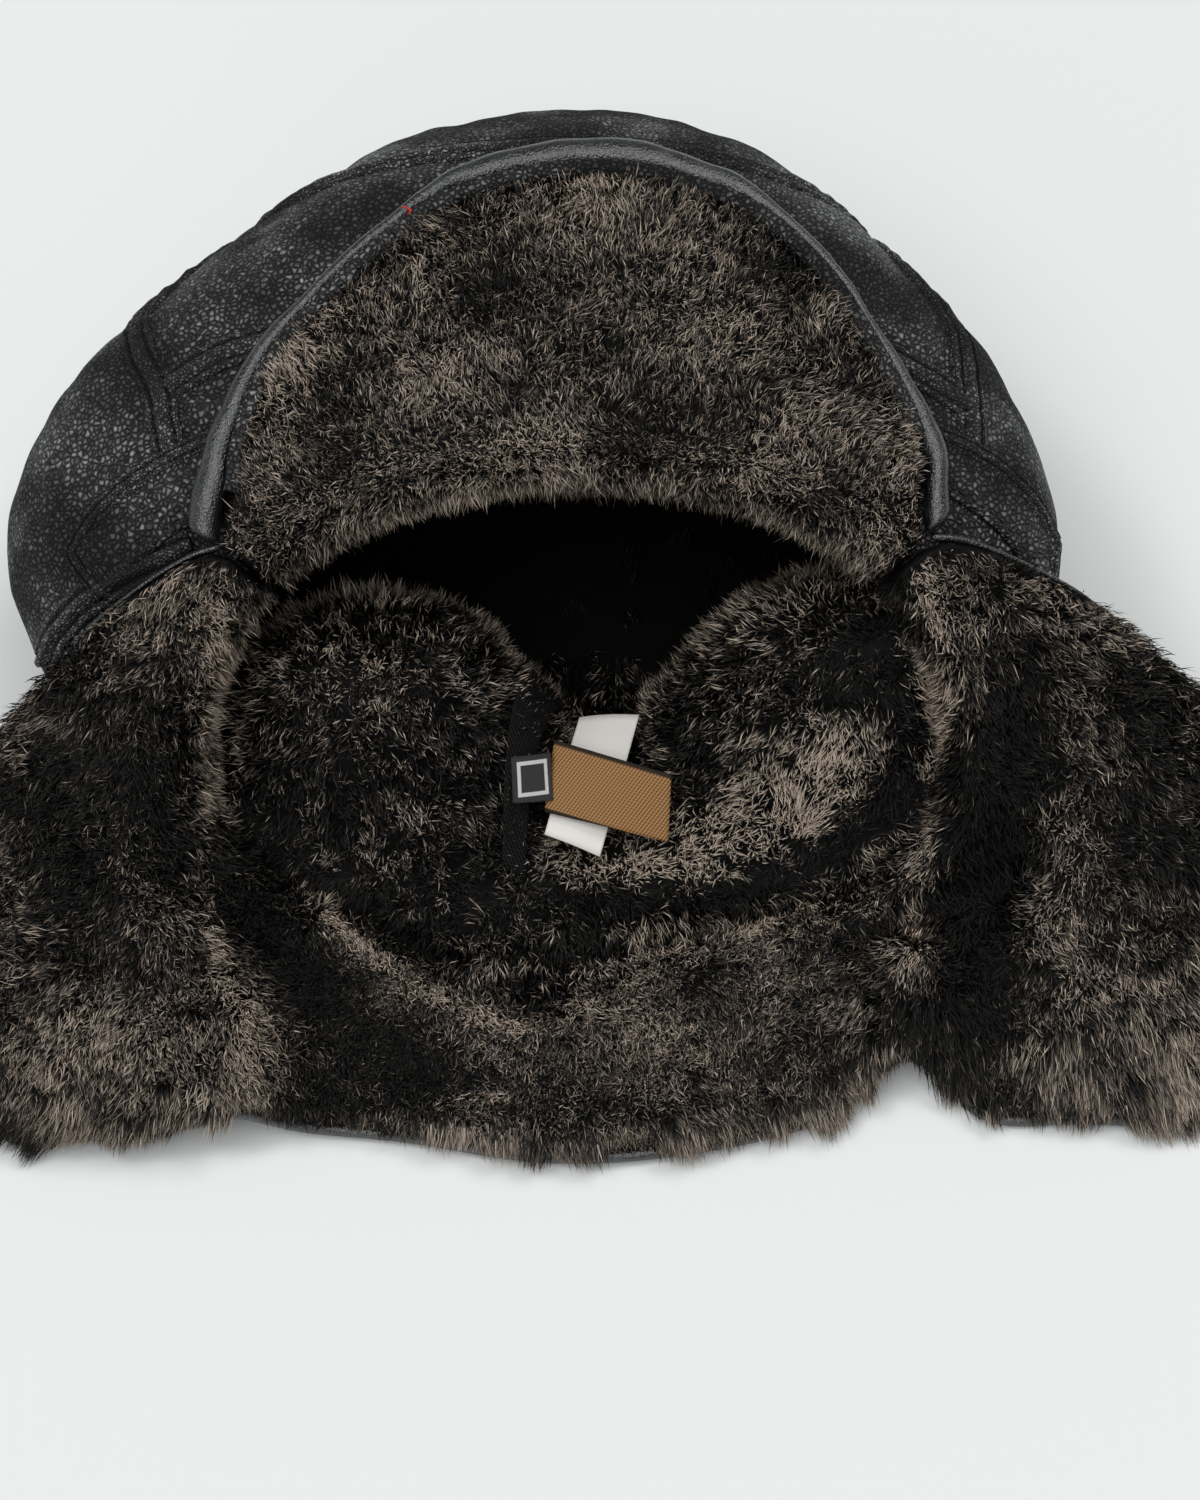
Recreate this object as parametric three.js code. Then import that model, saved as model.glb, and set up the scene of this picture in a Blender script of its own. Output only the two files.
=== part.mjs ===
import * as THREE from "three";

// Aviator hat of black leather with clipped wool inside, lying on the back of its crown.
// Millimetres, +Z up, +X to the right and +Y away for someone who looks into the head opening.
// The forehead side is up, the nape is down, the ear flaps lie spread to both sides.

const LEATHER = 1.5;
const FLEECE = 9;
const GAP = 0.35;
const WALL = FLEECE + GAP + LEATHER;
const SHIFT_X = -10;
const SHIFT_Y = -132.5;

const COLOURS = {
  leather: 0x17171a,
  piping: 0x1d222b,
  fleece: 0x4a4038,
  tape: 0x101012,
  woven: 0x8a6238,
  size: 0x2c2c30,
  care: 0xe6e4de,
};

// A short table: the names of the columns, then one list of numbers per row.
function table(names, ...lines) {
  const columns = names.split(" ");
  return lines.map((line) => Object.fromEntries(line.map((n, i) => [columns[i], n])));
}

// Smooth value of every column of a table at one value of its first column.
function sample(rows, key, at) {
  const last = rows.length - 1;
  let i = 0;
  while (i < last - 1 && at > rows[i + 1][key]) i += 1;
  const a = rows[i];
  const b = rows[i + 1];
  const before = rows[Math.max(i - 1, 0)];
  const after = rows[Math.min(i + 2, last)];
  const span = b[key] - a[key];
  const t = Math.min(Math.max((at - a[key]) / span, 0), 1);
  const out = {};
  for (const c of Object.keys(a)) {
    const m0 = ((b[c] - before[c]) / (b[key] - before[key])) * span;
    const m1 = ((after[c] - a[c]) / (after[key] - a[key])) * span;
    const h = t * t * (3 - 2 * t);
    const h0 = t * (1 - t) * (1 - t);
    const h1 = t * t * (t - 1);
    out[c] = a[c] * (1 - h) + b[c] * h + m0 * h0 + m1 * h1;
  }
  return out;
}

// Rings of the head hollow, from the rim to the far end of the crown.
// y and z place the ring's middle, tilt leans its upward axis back, in degrees.
const CROWN_RINGS = table(
  "s y z tilt left right up down",
  [0.0, 90, 60, 46, 100, 96, 70, 60],
  [0.08, 102, 60, 51.4, 115, 104, 65.5, 60],
  [0.18, 118, 60, 58.6, 132, 114, 61.6, 58],
  [0.34, 142, 63, 66.5, 141, 116, 57, 62],
  [0.5, 168, 66, 74, 131, 109, 56, 66],
  [0.64, 192, 66, 80, 110, 92, 57, 66],
  [0.77, 216, 64, 86, 88, 74, 55, 62],
  [0.89, 246, 61, 92, 58, 50, 42, 47],
  [0.95, 258, 58, 93, 31, 28, 24, 26],
  [1.0, 264, 56, 94, 0.5, 0.5, 0.5, 0.5],
);

// The back of the crown is pushed in from below in two pillows.
const PILLOWS = table(
  "x y wide before behind high lean",
  [-52, 104, 44, 34, 30, 54, 12],
  [67, 106, 46, 33, 30, 60, 12],
);
const SWELL_START = 0.07;

// The wool stands in a low ridge where the lining meets the neck flap.
const RIM_RIDGE = { high: 4, reach: 0.035 };

// At the centre back the rim sags towards the nape.
const NAPE_FOLD = { x: -14, wide: 24, reach: 20, depth: 0.16 };

// How far the turned-up front flap reaches along the crown, by angle round the rim.
const FRONT_REACH = table(
  "phi s",
  [37, 0.03],
  [44, 0.13],
  [50, 0.24],
  [58, 0.46],
  [66, 0.6],
  [76, 0.66],
  [86, 0.685],
  [96, 0.67],
  [106, 0.61],
  [116, 0.43],
  [124, 0.22],
  [130, 0.13],
  [136, 0.08],
  [143, 0.03],
);
const FRONT_START = 37;
const FRONT_END = 143;
const FRONT_GAP = 2.4;
const ROLL_SHARE = 0.3;
const HALF = WALL + FRONT_GAP / 2;

// Ear and neck flap: for each angle round the rim how far it rolls over the rim, in degrees,
// a point in the middle of the flap and the point on its free edge.
const EAR_NECK = table(
  "phi turn mx my mz ex ey ez",
  [144.5, 165, -127, 98, 94, -159, 84, 58],
  [160, 150, -138, 80, 74, -179, 62, 30],
  [176, 135, -140, 60, 56, -182, 36, 14],
  [192, 120, -135, 36, 44, -173, 8, 11],
  [206, 105, -122, 18, 38, -148, -6, 11],
  [219, 85, -106, 10, 30, -118, -8, 11],
  [231, 66, -90, 12, 20, -96, -5, 11],
  [241, 40, -76, 12, 16, -78, 0, 11],
  [253, 28, -48, 12, 14, -50, 0, 11],
  [270, 24, -10, 8, 13, -10, -6, 11],
  [288, 28, 26, 14, 14, 27, -4, 11],
  [302, 44, 62, 22, 18, 64, 4, 11],
  [313, 70, 85, 30, 32, 88, 13, 11],
  [325, 98, 106, 34, 38, 112, 4, 11],
  [342, 120, 132, 48, 48, 160, 2, 11],
  [360, 135, 148, 72, 62, 198, 32, 14],
  [376, 150, 145, 94, 78, 199, 72, 30],
  [395.5, 165, 131, 110, 94, 174, 98, 56],
);

// Ridges and a furrow that run down the ear and neck flap: a line in plan, a height, the
// widths to its left and right and where it ends towards the crown.
const FOLDS = [
  {
    line: table("y x", [1, -88], [20, -87], [34, -92], [57, -97]),
    high: 12,
    left: 30,
    right: 12,
    top: 66,
  },
  { line: table("y x", [14, 85], [24, 86], [50, 84], [70, 91]), high: 9, left: 12, right: 11, top: 72 },
  { line: table("y x", [24, 107], [61, 109], [91, 114]), high: -7, left: 10, right: 11, top: 96 },
];

const EAR_START = 144.5;
const EAR_END = 395.5;

const V = (x, y, z) => new THREE.Vector3(x, y, z);
const rad = (degrees) => (degrees * Math.PI) / 180;
const mix = (a, b, t) => a + (b - a) * t;
const smooth = (t) => {
  const q = Math.min(Math.max(t, 0), 1);
  return q * q * (3 - 2 * q);
};

// Rounded floor: nothing of the wool surface lies lower than one wall above the table.
function onTable(z) {
  const soft = 3;
  if (z > WALL + soft) return z;
  if (z < WALL - soft) return WALL;
  return WALL + (z - WALL + soft) ** 2 / (4 * soft);
}

// Point on the inner wool surface of the crown.
function hollow(phi, s) {
  const r = sample(CROWN_RINGS, "s", s);
  const c = Math.cos(rad(phi));
  const n = Math.sin(rad(phi));
  const power = 0.88;
  const side = Math.sign(c) * Math.abs(c) ** power * (c < 0 ? r.left : r.right);
  const rise = Math.sign(n) * Math.abs(n) ** power * (n < 0 ? r.down : r.up);
  const x = side;
  const fold = n < 0 ? Math.max(1 - s / NAPE_FOLD.depth, 0) * Math.min(-n * 1.5, 1) : 0;
  const near = Math.exp(-(((x - NAPE_FOLD.x) / NAPE_FOLD.wide) ** 2));
  const y = r.y + rise * Math.cos(rad(r.tilt)) - fold * near * NAPE_FOLD.reach;
  let z = r.z + rise * Math.sin(rad(r.tilt));
  z = onTable(z);
  const low = smooth(-n / 0.7);
  z += low * RIM_RIDGE.high * Math.exp(-((s / RIM_RIDGE.reach) ** 2));
  const fade = 1 - Math.exp(-((s / SWELL_START) ** 2));
  let push = 0;
  for (const p of PILLOWS) {
    const d = ((x - p.x) / p.wide) ** 2 + ((y - p.y) / (y < p.y ? p.before : p.behind)) ** 2;
    const swell = low * fade * Math.exp(-0.9 * d ** 2.2);
    z += p.high * swell;
    push += p.lean * swell;
  }
  return V(x, y + push, z);
}

// A surface with a smooth normal at every point, so layers can be laid under it.
class Sheet {
  constructor(point, u, v, options = {}) {
    this.point = point;
    this.u = u;
    this.v = v;
    this.loop = options.loop ?? false;
    this.nu = options.nu ?? 96;
    this.nv = options.nv ?? 40;
    this.facing = options.facing ?? 1;
    this.rim = options.rim;
    this.turn = options.turn;
    this.normals = this.measure(options.soften ?? 3);
  }

  cell(i, j) {
    return this.point(mix(...this.u, i / this.nu), mix(...this.v, j / this.nv));
  }

  measure(soften) {
    const { nu, nv, loop } = this;
    const grid = [];
    for (let i = 0; i <= nu; i += 1) {
      grid.push([]);
      for (let j = 0; j <= nv; j += 1) grid[i].push(this.cell(i, j));
    }
    const wrap = (i) => (loop ? (i + nu) % nu : Math.min(Math.max(i, 0), nu));
    const clamp = (j) => Math.min(Math.max(j, 0), nv);
    let out = grid.map((line, i) =>
      line.map((_, j) => {
        const across = grid[wrap(i + 1)][j].clone().sub(grid[wrap(i - 1)][j]);
        const along = grid[i][clamp(j + 1)].clone().sub(grid[i][clamp(j - 1)]);
        return across.cross(along).normalize().multiplyScalar(this.facing);
      }),
    );
    for (let k = 0; k < soften; k += 1) {
      out = out.map((line, i) =>
        line.map((n, j) =>
          n
            .clone()
            .multiplyScalar(2)
            .add(out[wrap(i - 1)][j])
            .add(out[wrap(i + 1)][j])
            .add(out[i][clamp(j - 1)])
            .add(out[i][clamp(j + 1)])
            .normalize(),
        ),
      );
    }
    if (loop) out[nu] = out[0];
    return out;
  }

  normal(u, v) {
    const { nu, nv, loop } = this;
    let a = ((u - this.u[0]) / (this.u[1] - this.u[0])) * nu;
    const b = Math.min(Math.max(((v - this.v[0]) / (this.v[1] - this.v[0])) * nv, 0), nv);
    if (loop) a = ((a % nu) + nu) % nu;
    a = Math.min(Math.max(a, 0), nu);
    const i = Math.min(Math.floor(a), nu - 1);
    const j = Math.min(Math.floor(b), nv - 1);
    const n = this.normals;
    const left = n[i][j].clone().lerp(n[i][j + 1], b - j);
    const right = n[i + 1][j].clone().lerp(n[i + 1][j + 1], b - j);
    return left.lerp(right, a - i).normalize();
  }

  // The point one depth below the surface, away from the wool side.
  at(u, v, depth) {
    const n = this.normal(u, v);
    if (this.rim) {
      const t = Math.min((v * rimRate(this, u)) / RIM_BLEND, 1);
      n.lerp(this.rim(u), 1 - t).normalize();
    }
    return this.point(u, v).addScaledVector(n, depth);
  }
}

// Millimetres of roll for one unit of the sheet's second coordinate.
const RIM_BLEND = 4;
const RIM_GAP = 1.6;
function rimRate(sheet, u) {
  return (HALF * sheet.turn(u)) / ROLL_SHARE;
}

const parts = new THREE.Group();

// Turns corner points and faces into a named mesh whose faces look outwards.
function addMesh(name, points, faces, colour, roughness) {
  let volume = 0;
  for (const [a, b, c] of faces) {
    volume += points[a].dot(points[b].clone().cross(points[c])) / 6;
  }
  const index = volume < 0 ? faces.map(([a, b, c]) => [a, c, b]).flat() : faces.flat();
  const flat = points.flatMap((p) => [p.x + SHIFT_X, p.y + SHIFT_Y, p.z]);
  const geometry = new THREE.BufferGeometry();
  geometry.setAttribute("position", new THREE.Float32BufferAttribute(flat, 3));
  geometry.setIndex(index);
  geometry.computeVertexNormals();
  const material = new THREE.MeshStandardMaterial({ color: colour, roughness });
  const mesh = new THREE.Mesh(geometry, material);
  mesh.name = name;
  parts.add(mesh);
}

// Every four-sided cell of a grid is cut along the shorter diagonal of its guide points.
function cells(nu, nv, guide, wrap, add) {
  for (let i = 0; i < nu; i += 1) {
    for (let j = 0; j < nv; j += 1) {
      const next = wrap ? (i + 1) % nu : i + 1;
      const one = guide(i, j).distanceTo(guide(next, j + 1));
      const other = guide(next, j).distanceTo(guide(i, j + 1));
      add(i, next, j, one <= other);
    }
  }
}

// A closed patch between two layers; front and back give the points of a grid.
function patch(name, nu, nv, front, back, guide, colour, roughness = 0.8) {
  const points = [];
  const id = (side, i, j) => side * (nu + 1) * (nv + 1) + i * (nv + 1) + j;
  for (const layer of [front, back]) {
    for (let i = 0; i <= nu; i += 1) {
      for (let j = 0; j <= nv; j += 1) points.push(layer(i / nu, j / nv));
    }
  }
  const faces = [];
  const quad = (a, b, c, d) => faces.push([a, b, c], [a, c, d]);
  cells(nu, nv, guide ?? ((i, j) => front(i / nu, j / nv)), false, (i, k, j, straight) => {
    const f = [id(0, i, j), id(0, k, j), id(0, k, j + 1), id(0, i, j + 1)];
    const b = [id(1, i, j), id(1, k, j), id(1, k, j + 1), id(1, i, j + 1)];
    if (straight) {
      quad(f[0], f[1], f[2], f[3]);
      quad(b[2], b[1], b[0], b[3]);
    } else {
      quad(f[1], f[2], f[3], f[0]);
      quad(b[3], b[2], b[1], b[0]);
    }
  });
  for (let i = 0; i < nu; i += 1) {
    quad(id(0, i, 0), id(1, i, 0), id(1, i + 1, 0), id(0, i + 1, 0));
    quad(id(0, i + 1, nv), id(1, i + 1, nv), id(1, i, nv), id(0, i, nv));
  }
  for (let j = 0; j < nv; j += 1) {
    quad(id(0, 0, j + 1), id(1, 0, j + 1), id(1, 0, j), id(0, 0, j));
    quad(id(0, nu, j), id(1, nu, j), id(1, nu, j + 1), id(0, nu, j + 1));
  }
  addMesh(name, points, faces, colour, roughness);
}

// A closed cup: rings that wrap round in u and end in one point at the last v.
function cup(name, nu, nv, front, back, guide, colour, roughness = 0.9) {
  const points = [];
  const id = (side, i, j) => side * (nu * nv + 1) + j * nu + i;
  const pole = (side) => side * (nu * nv + 1) + nu * nv;
  for (const layer of [front, back]) {
    for (let j = 0; j < nv; j += 1) {
      for (let i = 0; i < nu; i += 1) points.push(layer(i / nu, j / nv));
    }
    points.push(layer(0, 1));
  }
  const faces = [];
  const quad = (a, b, c, d) => faces.push([a, b, c], [a, c, d]);
  cells(nu, nv - 1, guide, true, (i, k, j, straight) => {
    const f = [id(0, i, j), id(0, k, j), id(0, k, j + 1), id(0, i, j + 1)];
    const b = [id(1, i, j), id(1, k, j), id(1, k, j + 1), id(1, i, j + 1)];
    if (straight) {
      quad(f[0], f[1], f[2], f[3]);
      quad(b[2], b[1], b[0], b[3]);
    } else {
      quad(f[1], f[2], f[3], f[0]);
      quad(b[3], b[2], b[1], b[0]);
    }
  });
  for (let i = 0; i < nu; i += 1) {
    const k = (i + 1) % nu;
    faces.push([id(0, i, nv - 1), id(0, k, nv - 1), pole(0)]);
    faces.push([id(1, k, nv - 1), id(1, i, nv - 1), pole(1)]);
    quad(id(0, i, 0), id(1, i, 0), id(1, k, 0), id(0, k, 0));
  }
  addMesh(name, points, faces, colour, roughness);
}

// A closed rod along a path; frame gives the middle and the two half axes at each step.
function rod(name, steps, sides, frame, colour, roughness = 0.5) {
  const points = [];
  for (let i = 0; i <= steps; i += 1) {
    const { middle, wide, high } = frame(i / steps);
    for (let k = 0; k < sides; k += 1) {
      const a = (2 * Math.PI * (k + 0.5)) / sides;
      const p = middle.clone().addScaledVector(wide, Math.cos(a));
      points.push(p.addScaledVector(high, Math.sin(a)));
    }
  }
  const first = points.push(frame(0).middle) - 1;
  const last = points.push(frame(1).middle) - 1;
  const faces = [];
  for (let k = 0; k < sides; k += 1) {
    const next = (k + 1) % sides;
    for (let i = 0; i < steps; i += 1) {
      const a = i * sides + k;
      const b = i * sides + next;
      faces.push([a, b, b + sides], [a, b + sides, a + sides]);
    }
    faces.push([first, next, k]);
    faces.push([last, steps * sides + k, steps * sides + next]);
  }
  addMesh(name, points, faces, colour, roughness);
}

// Steps shared by every layer of the crown, so that the layers never cross.
const CROWN_STEPS = [0.003, 0.06, 0.12, 0.2, 0.28, 0.36, 0.45, 0.54, 0.62, 0.7, 0.78, 0.86, 0.93, 1];
const CROWN_TURN = 9;

const crown = new Sheet(hollow, [0, 360], [0, 1], { loop: true, soften: 4, facing: -1 });

// Direction that leads out of the head hollow, square to the rim.
function outOfRim(phi) {
  const along = hollow(phi + 2, 0).sub(hollow(phi - 2, 0));
  const out = crown.normal(phi, 0).clone().cross(along).normalize();
  const way = hollow(phi, 0).sub(hollow(phi, 0.04));
  return out.dot(way) < 0 ? out.negate() : out;
}

// Half a roll over the rim at one angle round it, with the turn in radians.
function rimRoll(phi, turn) {
  const n = crown.normal(phi, 0);
  const p = hollow(phi, 0).addScaledVector(n, HALF * (1 - Math.cos(turn)));
  return p.addScaledVector(outOfRim(phi), HALF * Math.sin(turn));
}

// Front flap: half a roll over the rim, then along the outside of the crown.
function frontFlap(phi, w) {
  if (w < ROLL_SHARE) return rimRoll(phi, (Math.PI * w) / ROLL_SHARE);
  const reach = sample(FRONT_REACH, "phi", phi).s;
  const s = (reach * (w - ROLL_SHARE)) / (1 - ROLL_SHARE);
  return crown.at(phi, s, 2 * HALF);
}

// Ear and neck flap: rolled over the rim, then through its middle down to the table.
function earNeckFlap(phi, w) {
  const row = sample(EAR_NECK, "phi", phi);
  const angle = phi % 360;
  const turn = rad(row.turn);
  if (w < ROLL_SHARE) return lifted(rimRoll(angle, (turn * w) / ROLL_SHARE));
  const start = rimRoll(angle, turn);
  const middle = V(row.mx, row.my, row.mz);
  const end = V(row.ex, row.ey, row.ez);
  const leave = crown.normal(angle, 0).multiplyScalar(Math.sin(turn));
  leave.addScaledVector(outOfRim(angle), Math.cos(turn));
  leave.multiplyScalar(start.distanceTo(middle));
  const pass = end.clone().sub(start).multiplyScalar(0.5);
  const arrive = end.clone().sub(middle);
  const t = (w - ROLL_SHARE) / (1 - ROLL_SHARE);
  const p =
    t < 0.5
      ? hermite(start, leave, middle, pass, t * 2)
      : hermite(middle, pass, end, arrive, t * 2 - 1);
  const { x, y } = p;
  for (const fold of FOLDS) p.z += Math.min(t * 5, 1) * foldLift(fold, x, y);
  return lifted(p);
}

function foldLift({ line, high, left, right, top }, x, y) {
  const away = x - sample(line, "y", y).x;
  return high * Math.exp(-((away / (away < 0 ? left : right)) ** 2)) * smooth((top - y) / 24);
}

function hermite(a, ta, b, tb, t) {
  const p = a.clone().lerp(b, t * t * (3 - 2 * t));
  p.addScaledVector(ta, t * (1 - t) * (1 - t));
  return p.addScaledVector(tb, t * t * (t - 1));
}

function lifted(p) {
  p.z = onTable(p.z);
  return p;
}

const rim = (phi) => crown.normal(phi, 0);
const front = new Sheet(frontFlap, [FRONT_START, FRONT_END], [0, 1], {
  nu: 48,
  soften: 2,
  rim,
  turn: () => Math.PI,
});
const earNeck = new Sheet(earNeckFlap, [EAR_START, EAR_END], [0, 1], {
  soften: 3,
  rim,
  turn: (phi) => rad(sample(EAR_NECK, "phi", phi).turn),
});

// The wool thins out towards a free edge in a quarter round.
function rounded(t, from, drop) {
  if (t < from) return 0;
  const q = (t - from) / (1 - from);
  return drop * (1 - Math.sqrt(Math.max(1 - q * q, 0)));
}


// Crown lining.
const around = 360 / CROWN_TURN;
const rings = CROWN_STEPS.length - 1;
const crownNet = (i, j) => crown.at(((i + around) % around) * CROWN_TURN, CROWN_STEPS[j], 0);
const crownLayer = (depth) => (u, v) => crown.at(u * 360, CROWN_STEPS[Math.round(v * rings)], depth);
cup("crown_lining", around, rings, crownLayer(0), crownLayer(FLEECE), crownNet, COLOURS.fleece);

// Point on the flat facets of one layer of the crown.
function onFacet(phi, s, depth) {
  const i = Math.floor(phi / CROWN_TURN);
  let j = 0;
  while (j < rings - 1 && s > CROWN_STEPS[j + 1]) j += 1;
  const p = phi / CROWN_TURN - i;
  const q = (s - CROWN_STEPS[j]) / (CROWN_STEPS[j + 1] - CROWN_STEPS[j]);
  const corner = (di, dj) => crown.at((i + di) * CROWN_TURN, CROWN_STEPS[j + dj], depth);
  const [a, b, c, d] = [corner(0, 0), corner(1, 0), corner(1, 1), corner(0, 1)];
  const net = (di, dj) => crownNet(i + di, j + dj);
  const straight = net(0, 0).distanceTo(net(1, 1)) <= net(1, 0).distanceTo(net(0, 1));
  const plane = (o, x, kx, y, ky) =>
    o.clone().addScaledVector(x.clone().sub(o), kx).addScaledVector(y.clone().sub(o), ky);
  if (straight && p >= q) return plane(b, a, 1 - p, c, q);
  if (straight) return plane(d, a, 1 - q, c, p);
  if (p + q <= 1) return plane(a, b, p, d, q);
  return plane(c, d, 1 - p, b, 1 - q);
}

// Crown leather in six panels: the angles and the steps at which each begins and ends.
const PANELS = [
  ["crown_top_panel", 0, 360, 10, 13],
  ["crown_front_upper_panel", 45, 135, 6, 10],
  ["crown_front_lower_panel", 45, 135, 0, 6],
  ["crown_left_panel", 135, 225, 0, 10],
  ["crown_back_panel", 225, 315, 0, 10],
  ["crown_right_panel", 315, 405, 0, 10],
];
const SEAM_ANGLE = 0.2;
const SEAM_REACH = 0.0012;
const RIM_REACH = 0.012;
for (const [name, a0, a1, j0, j1] of PANELS) {
  const whole = a1 - a0 === 360;
  const nu = (a1 - a0) / CROWN_TURN;
  const nv = j1 - j0;
  const layer = (depth) => (u, v) => {
    const j = j0 + Math.round(v * nv);
    let inner = j === j1 && !whole ? -SEAM_REACH : 0;
    if (j === j0) inner = j ? SEAM_REACH : RIM_REACH;
    const edge = whole ? 0 : u === 0 ? SEAM_ANGLE : u === 1 ? -SEAM_ANGLE : 0;
    return crown.at(a0 + u * (a1 - a0) + edge, CROWN_STEPS[j] + inner, depth);
  };
  const build = whole ? cup : patch;
  const net = (i, j) => crownNet(i + a0 / CROWN_TURN, j0 + j);
  build(name, nu, nv, layer(FLEECE + GAP), layer(WALL), net, COLOURS.leather, 0.6);
}

// Angles of a flap: its two ends and every half turn step of the crown between them.
function stations(from, to) {
  const half = CROWN_TURN / 2;
  const list = [from];
  for (let phi = Math.ceil((from + 1) / half) * half; phi < to - 1; phi += half) list.push(phi);
  return [...list, to];
}

// Front flap and ear and neck flap, wool on leather, with shared steps from rim to free edge.
// The rows next to the rim follow the straight steps of the crown's rim.
const FRONT_STEPS = [0, 0.08, 0.16, 0.23, 0.3, 0.44, 0.6, 0.8, 0.93, 1];
const EAR_STEPS = [0, 0.1, 0.2, 0.3, 0.46, 0.64, 0.84, 0.95, 1];
function flap(sheet, name, angles, steps) {
  const nu = angles.length - 1;
  const nv = steps.length - 1;
  const rimPoint = (a, w, depth) => {
    const share = Math.max(w, RIM_GAP / rimRate(sheet, a));
    const n = w > 0 ? sheet.at(a, share, 1).sub(sheet.point(a, share)) : sheet.rim(a);
    return sheet.point(a, share).addScaledVector(n, depth);
  };
  const at = (phi, w, depth) => {
    if (w >= ROLL_SHARE) return sheet.at(phi, w, depth);
    const low = Math.floor(phi / CROWN_TURN) * CROWN_TURN;
    const share = (phi - low) / CROWN_TURN;
    const p = rimPoint(low, w, depth).lerp(rimPoint(low + CROWN_TURN, w, depth), share);
    return p.lerp(rimPoint(phi, w, depth), w / ROLL_SHARE);
  };
  const layer = (depth) => (u, v) => {
    const w = steps[Math.round(v * nv)];
    return at(angles[Math.round(u * nu)], w, depth || rounded(w, 0.86, 4));
  };
  const net = (i, j) => sheet.at(angles[i], steps[j], 0);
  patch(name + "_fleece", nu, nv, layer(0), layer(FLEECE), net, COLOURS.fleece, 0.95);
  patch(name + "_leather", nu, nv, layer(FLEECE + GAP), layer(WALL), net, COLOURS.leather, 0.6);
}
flap(front, "front_flap", stations(FRONT_START, FRONT_END), FRONT_STEPS);
flap(earNeck, "ear_neck_flap", stations(EAR_START, EAR_END), EAR_STEPS);

// A rolled edge that runs along the free edge of a flap, just outside it.
function edging(name, sheet, angles, sides, size, colour) {
  const { wide, high, depth, out } = size;
  rod(
    name,
    angles.length - 1,
    sides,
    (t) => {
      const phi = angles[Math.round(t * (angles.length - 1))];
      const edge = sheet.point(phi, 1);
      const n = sheet.normal(phi, 1);
      const along = edge.clone().sub(sheet.point(phi, 0.985));
      along.addScaledVector(n, -along.dot(n)).normalize();
      const middle = edge.addScaledVector(n, depth).addScaledVector(along, out);
      return { middle, wide: along.multiplyScalar(wide), high: n.clone().multiplyScalar(high) };
    },
    colour,
    0.4,
  );
}
const PIPING = { wide: 4, high: 3.4, depth: 6, out: 4.4 };
const CORD = { wide: 1.8, high: 1.8, depth: 8.4, out: 2.3 };
const STRIP = { wide: 1.7, high: 0.9, depth: 0.8, out: -0.4 };
const frontAngles = stations(FRONT_START, FRONT_END);
const earAngles = stations(EAR_START, EAR_END);
edging("front_flap_piping", front, frontAngles, 6, PIPING, COLOURS.piping);
edging("ear_neck_flap_piping", earNeck, earAngles, 5, CORD, COLOURS.piping);
edging("front_flap_edge_strip", front, frontAngles.slice(4, -4), 4, STRIP, COLOURS.leather);

// Leather band round the lower front of the crown; its ends are cut square.
const BAND = table(
  "phi low high",
  [12, 0.16, 0.26],
  [30, 0.16, 0.28],
  [60, 0.12, 0.25],
  [90, 0.1, 0.22],
  [125, 0.1, 0.225],
  [145, 0.1, 0.21],
  [160, 0.115, 0.19],
);
const BAND_SLANT = 3;
const bandLayer = (depth) => (u, v) => {
  const phi = mix(12 - BAND_SLANT * (1 - v), 158 + 2 * BAND_SLANT * (1 - v), u);
  const row = sample(BAND, "phi", Math.min(Math.max(phi, 12), 160));
  return onFacet(phi, mix(row.low, row.high, v), WALL + depth);
};
patch("front_band", 32, 2, bandLayer(0.8), bandLayer(2), null, COLOURS.leather, 0.6);

// Woven tape over the seam at the centre back of the lining.
const TAPE = { from: 0.12, to: 0.36, start: 263.5, end: 268.5, half: 1.4 };
const tapeLayer = (depth) => (u, v) => {
  const phi = mix(TAPE.start, TAPE.end, v) + mix(-TAPE.half, TAPE.half, u);
  return onFacet(phi, mix(TAPE.from, TAPE.to, v), depth);
};
patch("centre_back_tape", 2, 9, tapeLayer(-1.3), tapeLayer(-0.5), null, COLOURS.tape, 0.9);

// Sewn-in labels: four corners on the wool, the lift above it and the thickness.
const CARDS = {
  woven_label: table(
    "x y z",
    [-6.74, 100.15, 34.3],
    [24.47, 89.38, 34.3],
    [23.46, 75.62, 22.3],
    [-9.4, 83.12, 25.3],
  ),
  size_label: table(
    "x y z",
    [-18.6, 91.74, 39.8],
    [-8.3, 95.76, 35.5],
    [-7.52, 85.28, 28],
    [-18.11, 82.23, 31.8],
  ),
  care_label: table(
    "x y z",
    [-0.09, 110.44, 28.4],
    [16.05, 108.48, 32.8],
    [5.3, 72.92, 18.9],
    [-9.4, 77.7, 22.4],
  ),
};
function card(name, lift, thick, colour) {
  const [a, b, c, d] = CARDS[name].map((p) => V(p.x, p.y, p.z));
  const n = b.clone().sub(a).cross(d.clone().sub(a)).normalize();
  if (n.z < 0) n.negate();
  const layer = (h) => (u, v) => {
    const p = a.clone().lerp(b, u).lerp(d.clone().lerp(c, u), v);
    return p.addScaledVector(n, lift + h);
  };
  patch(name, 3, 2, layer(thick), layer(0), null, colour, 0.9);
}
card("care_label", 0, 0.5, COLOURS.care);
card("size_label", 0, 0.8, COLOURS.size);
card("woven_label", 0, 0.9, COLOURS.woven);

export default parts;
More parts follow.
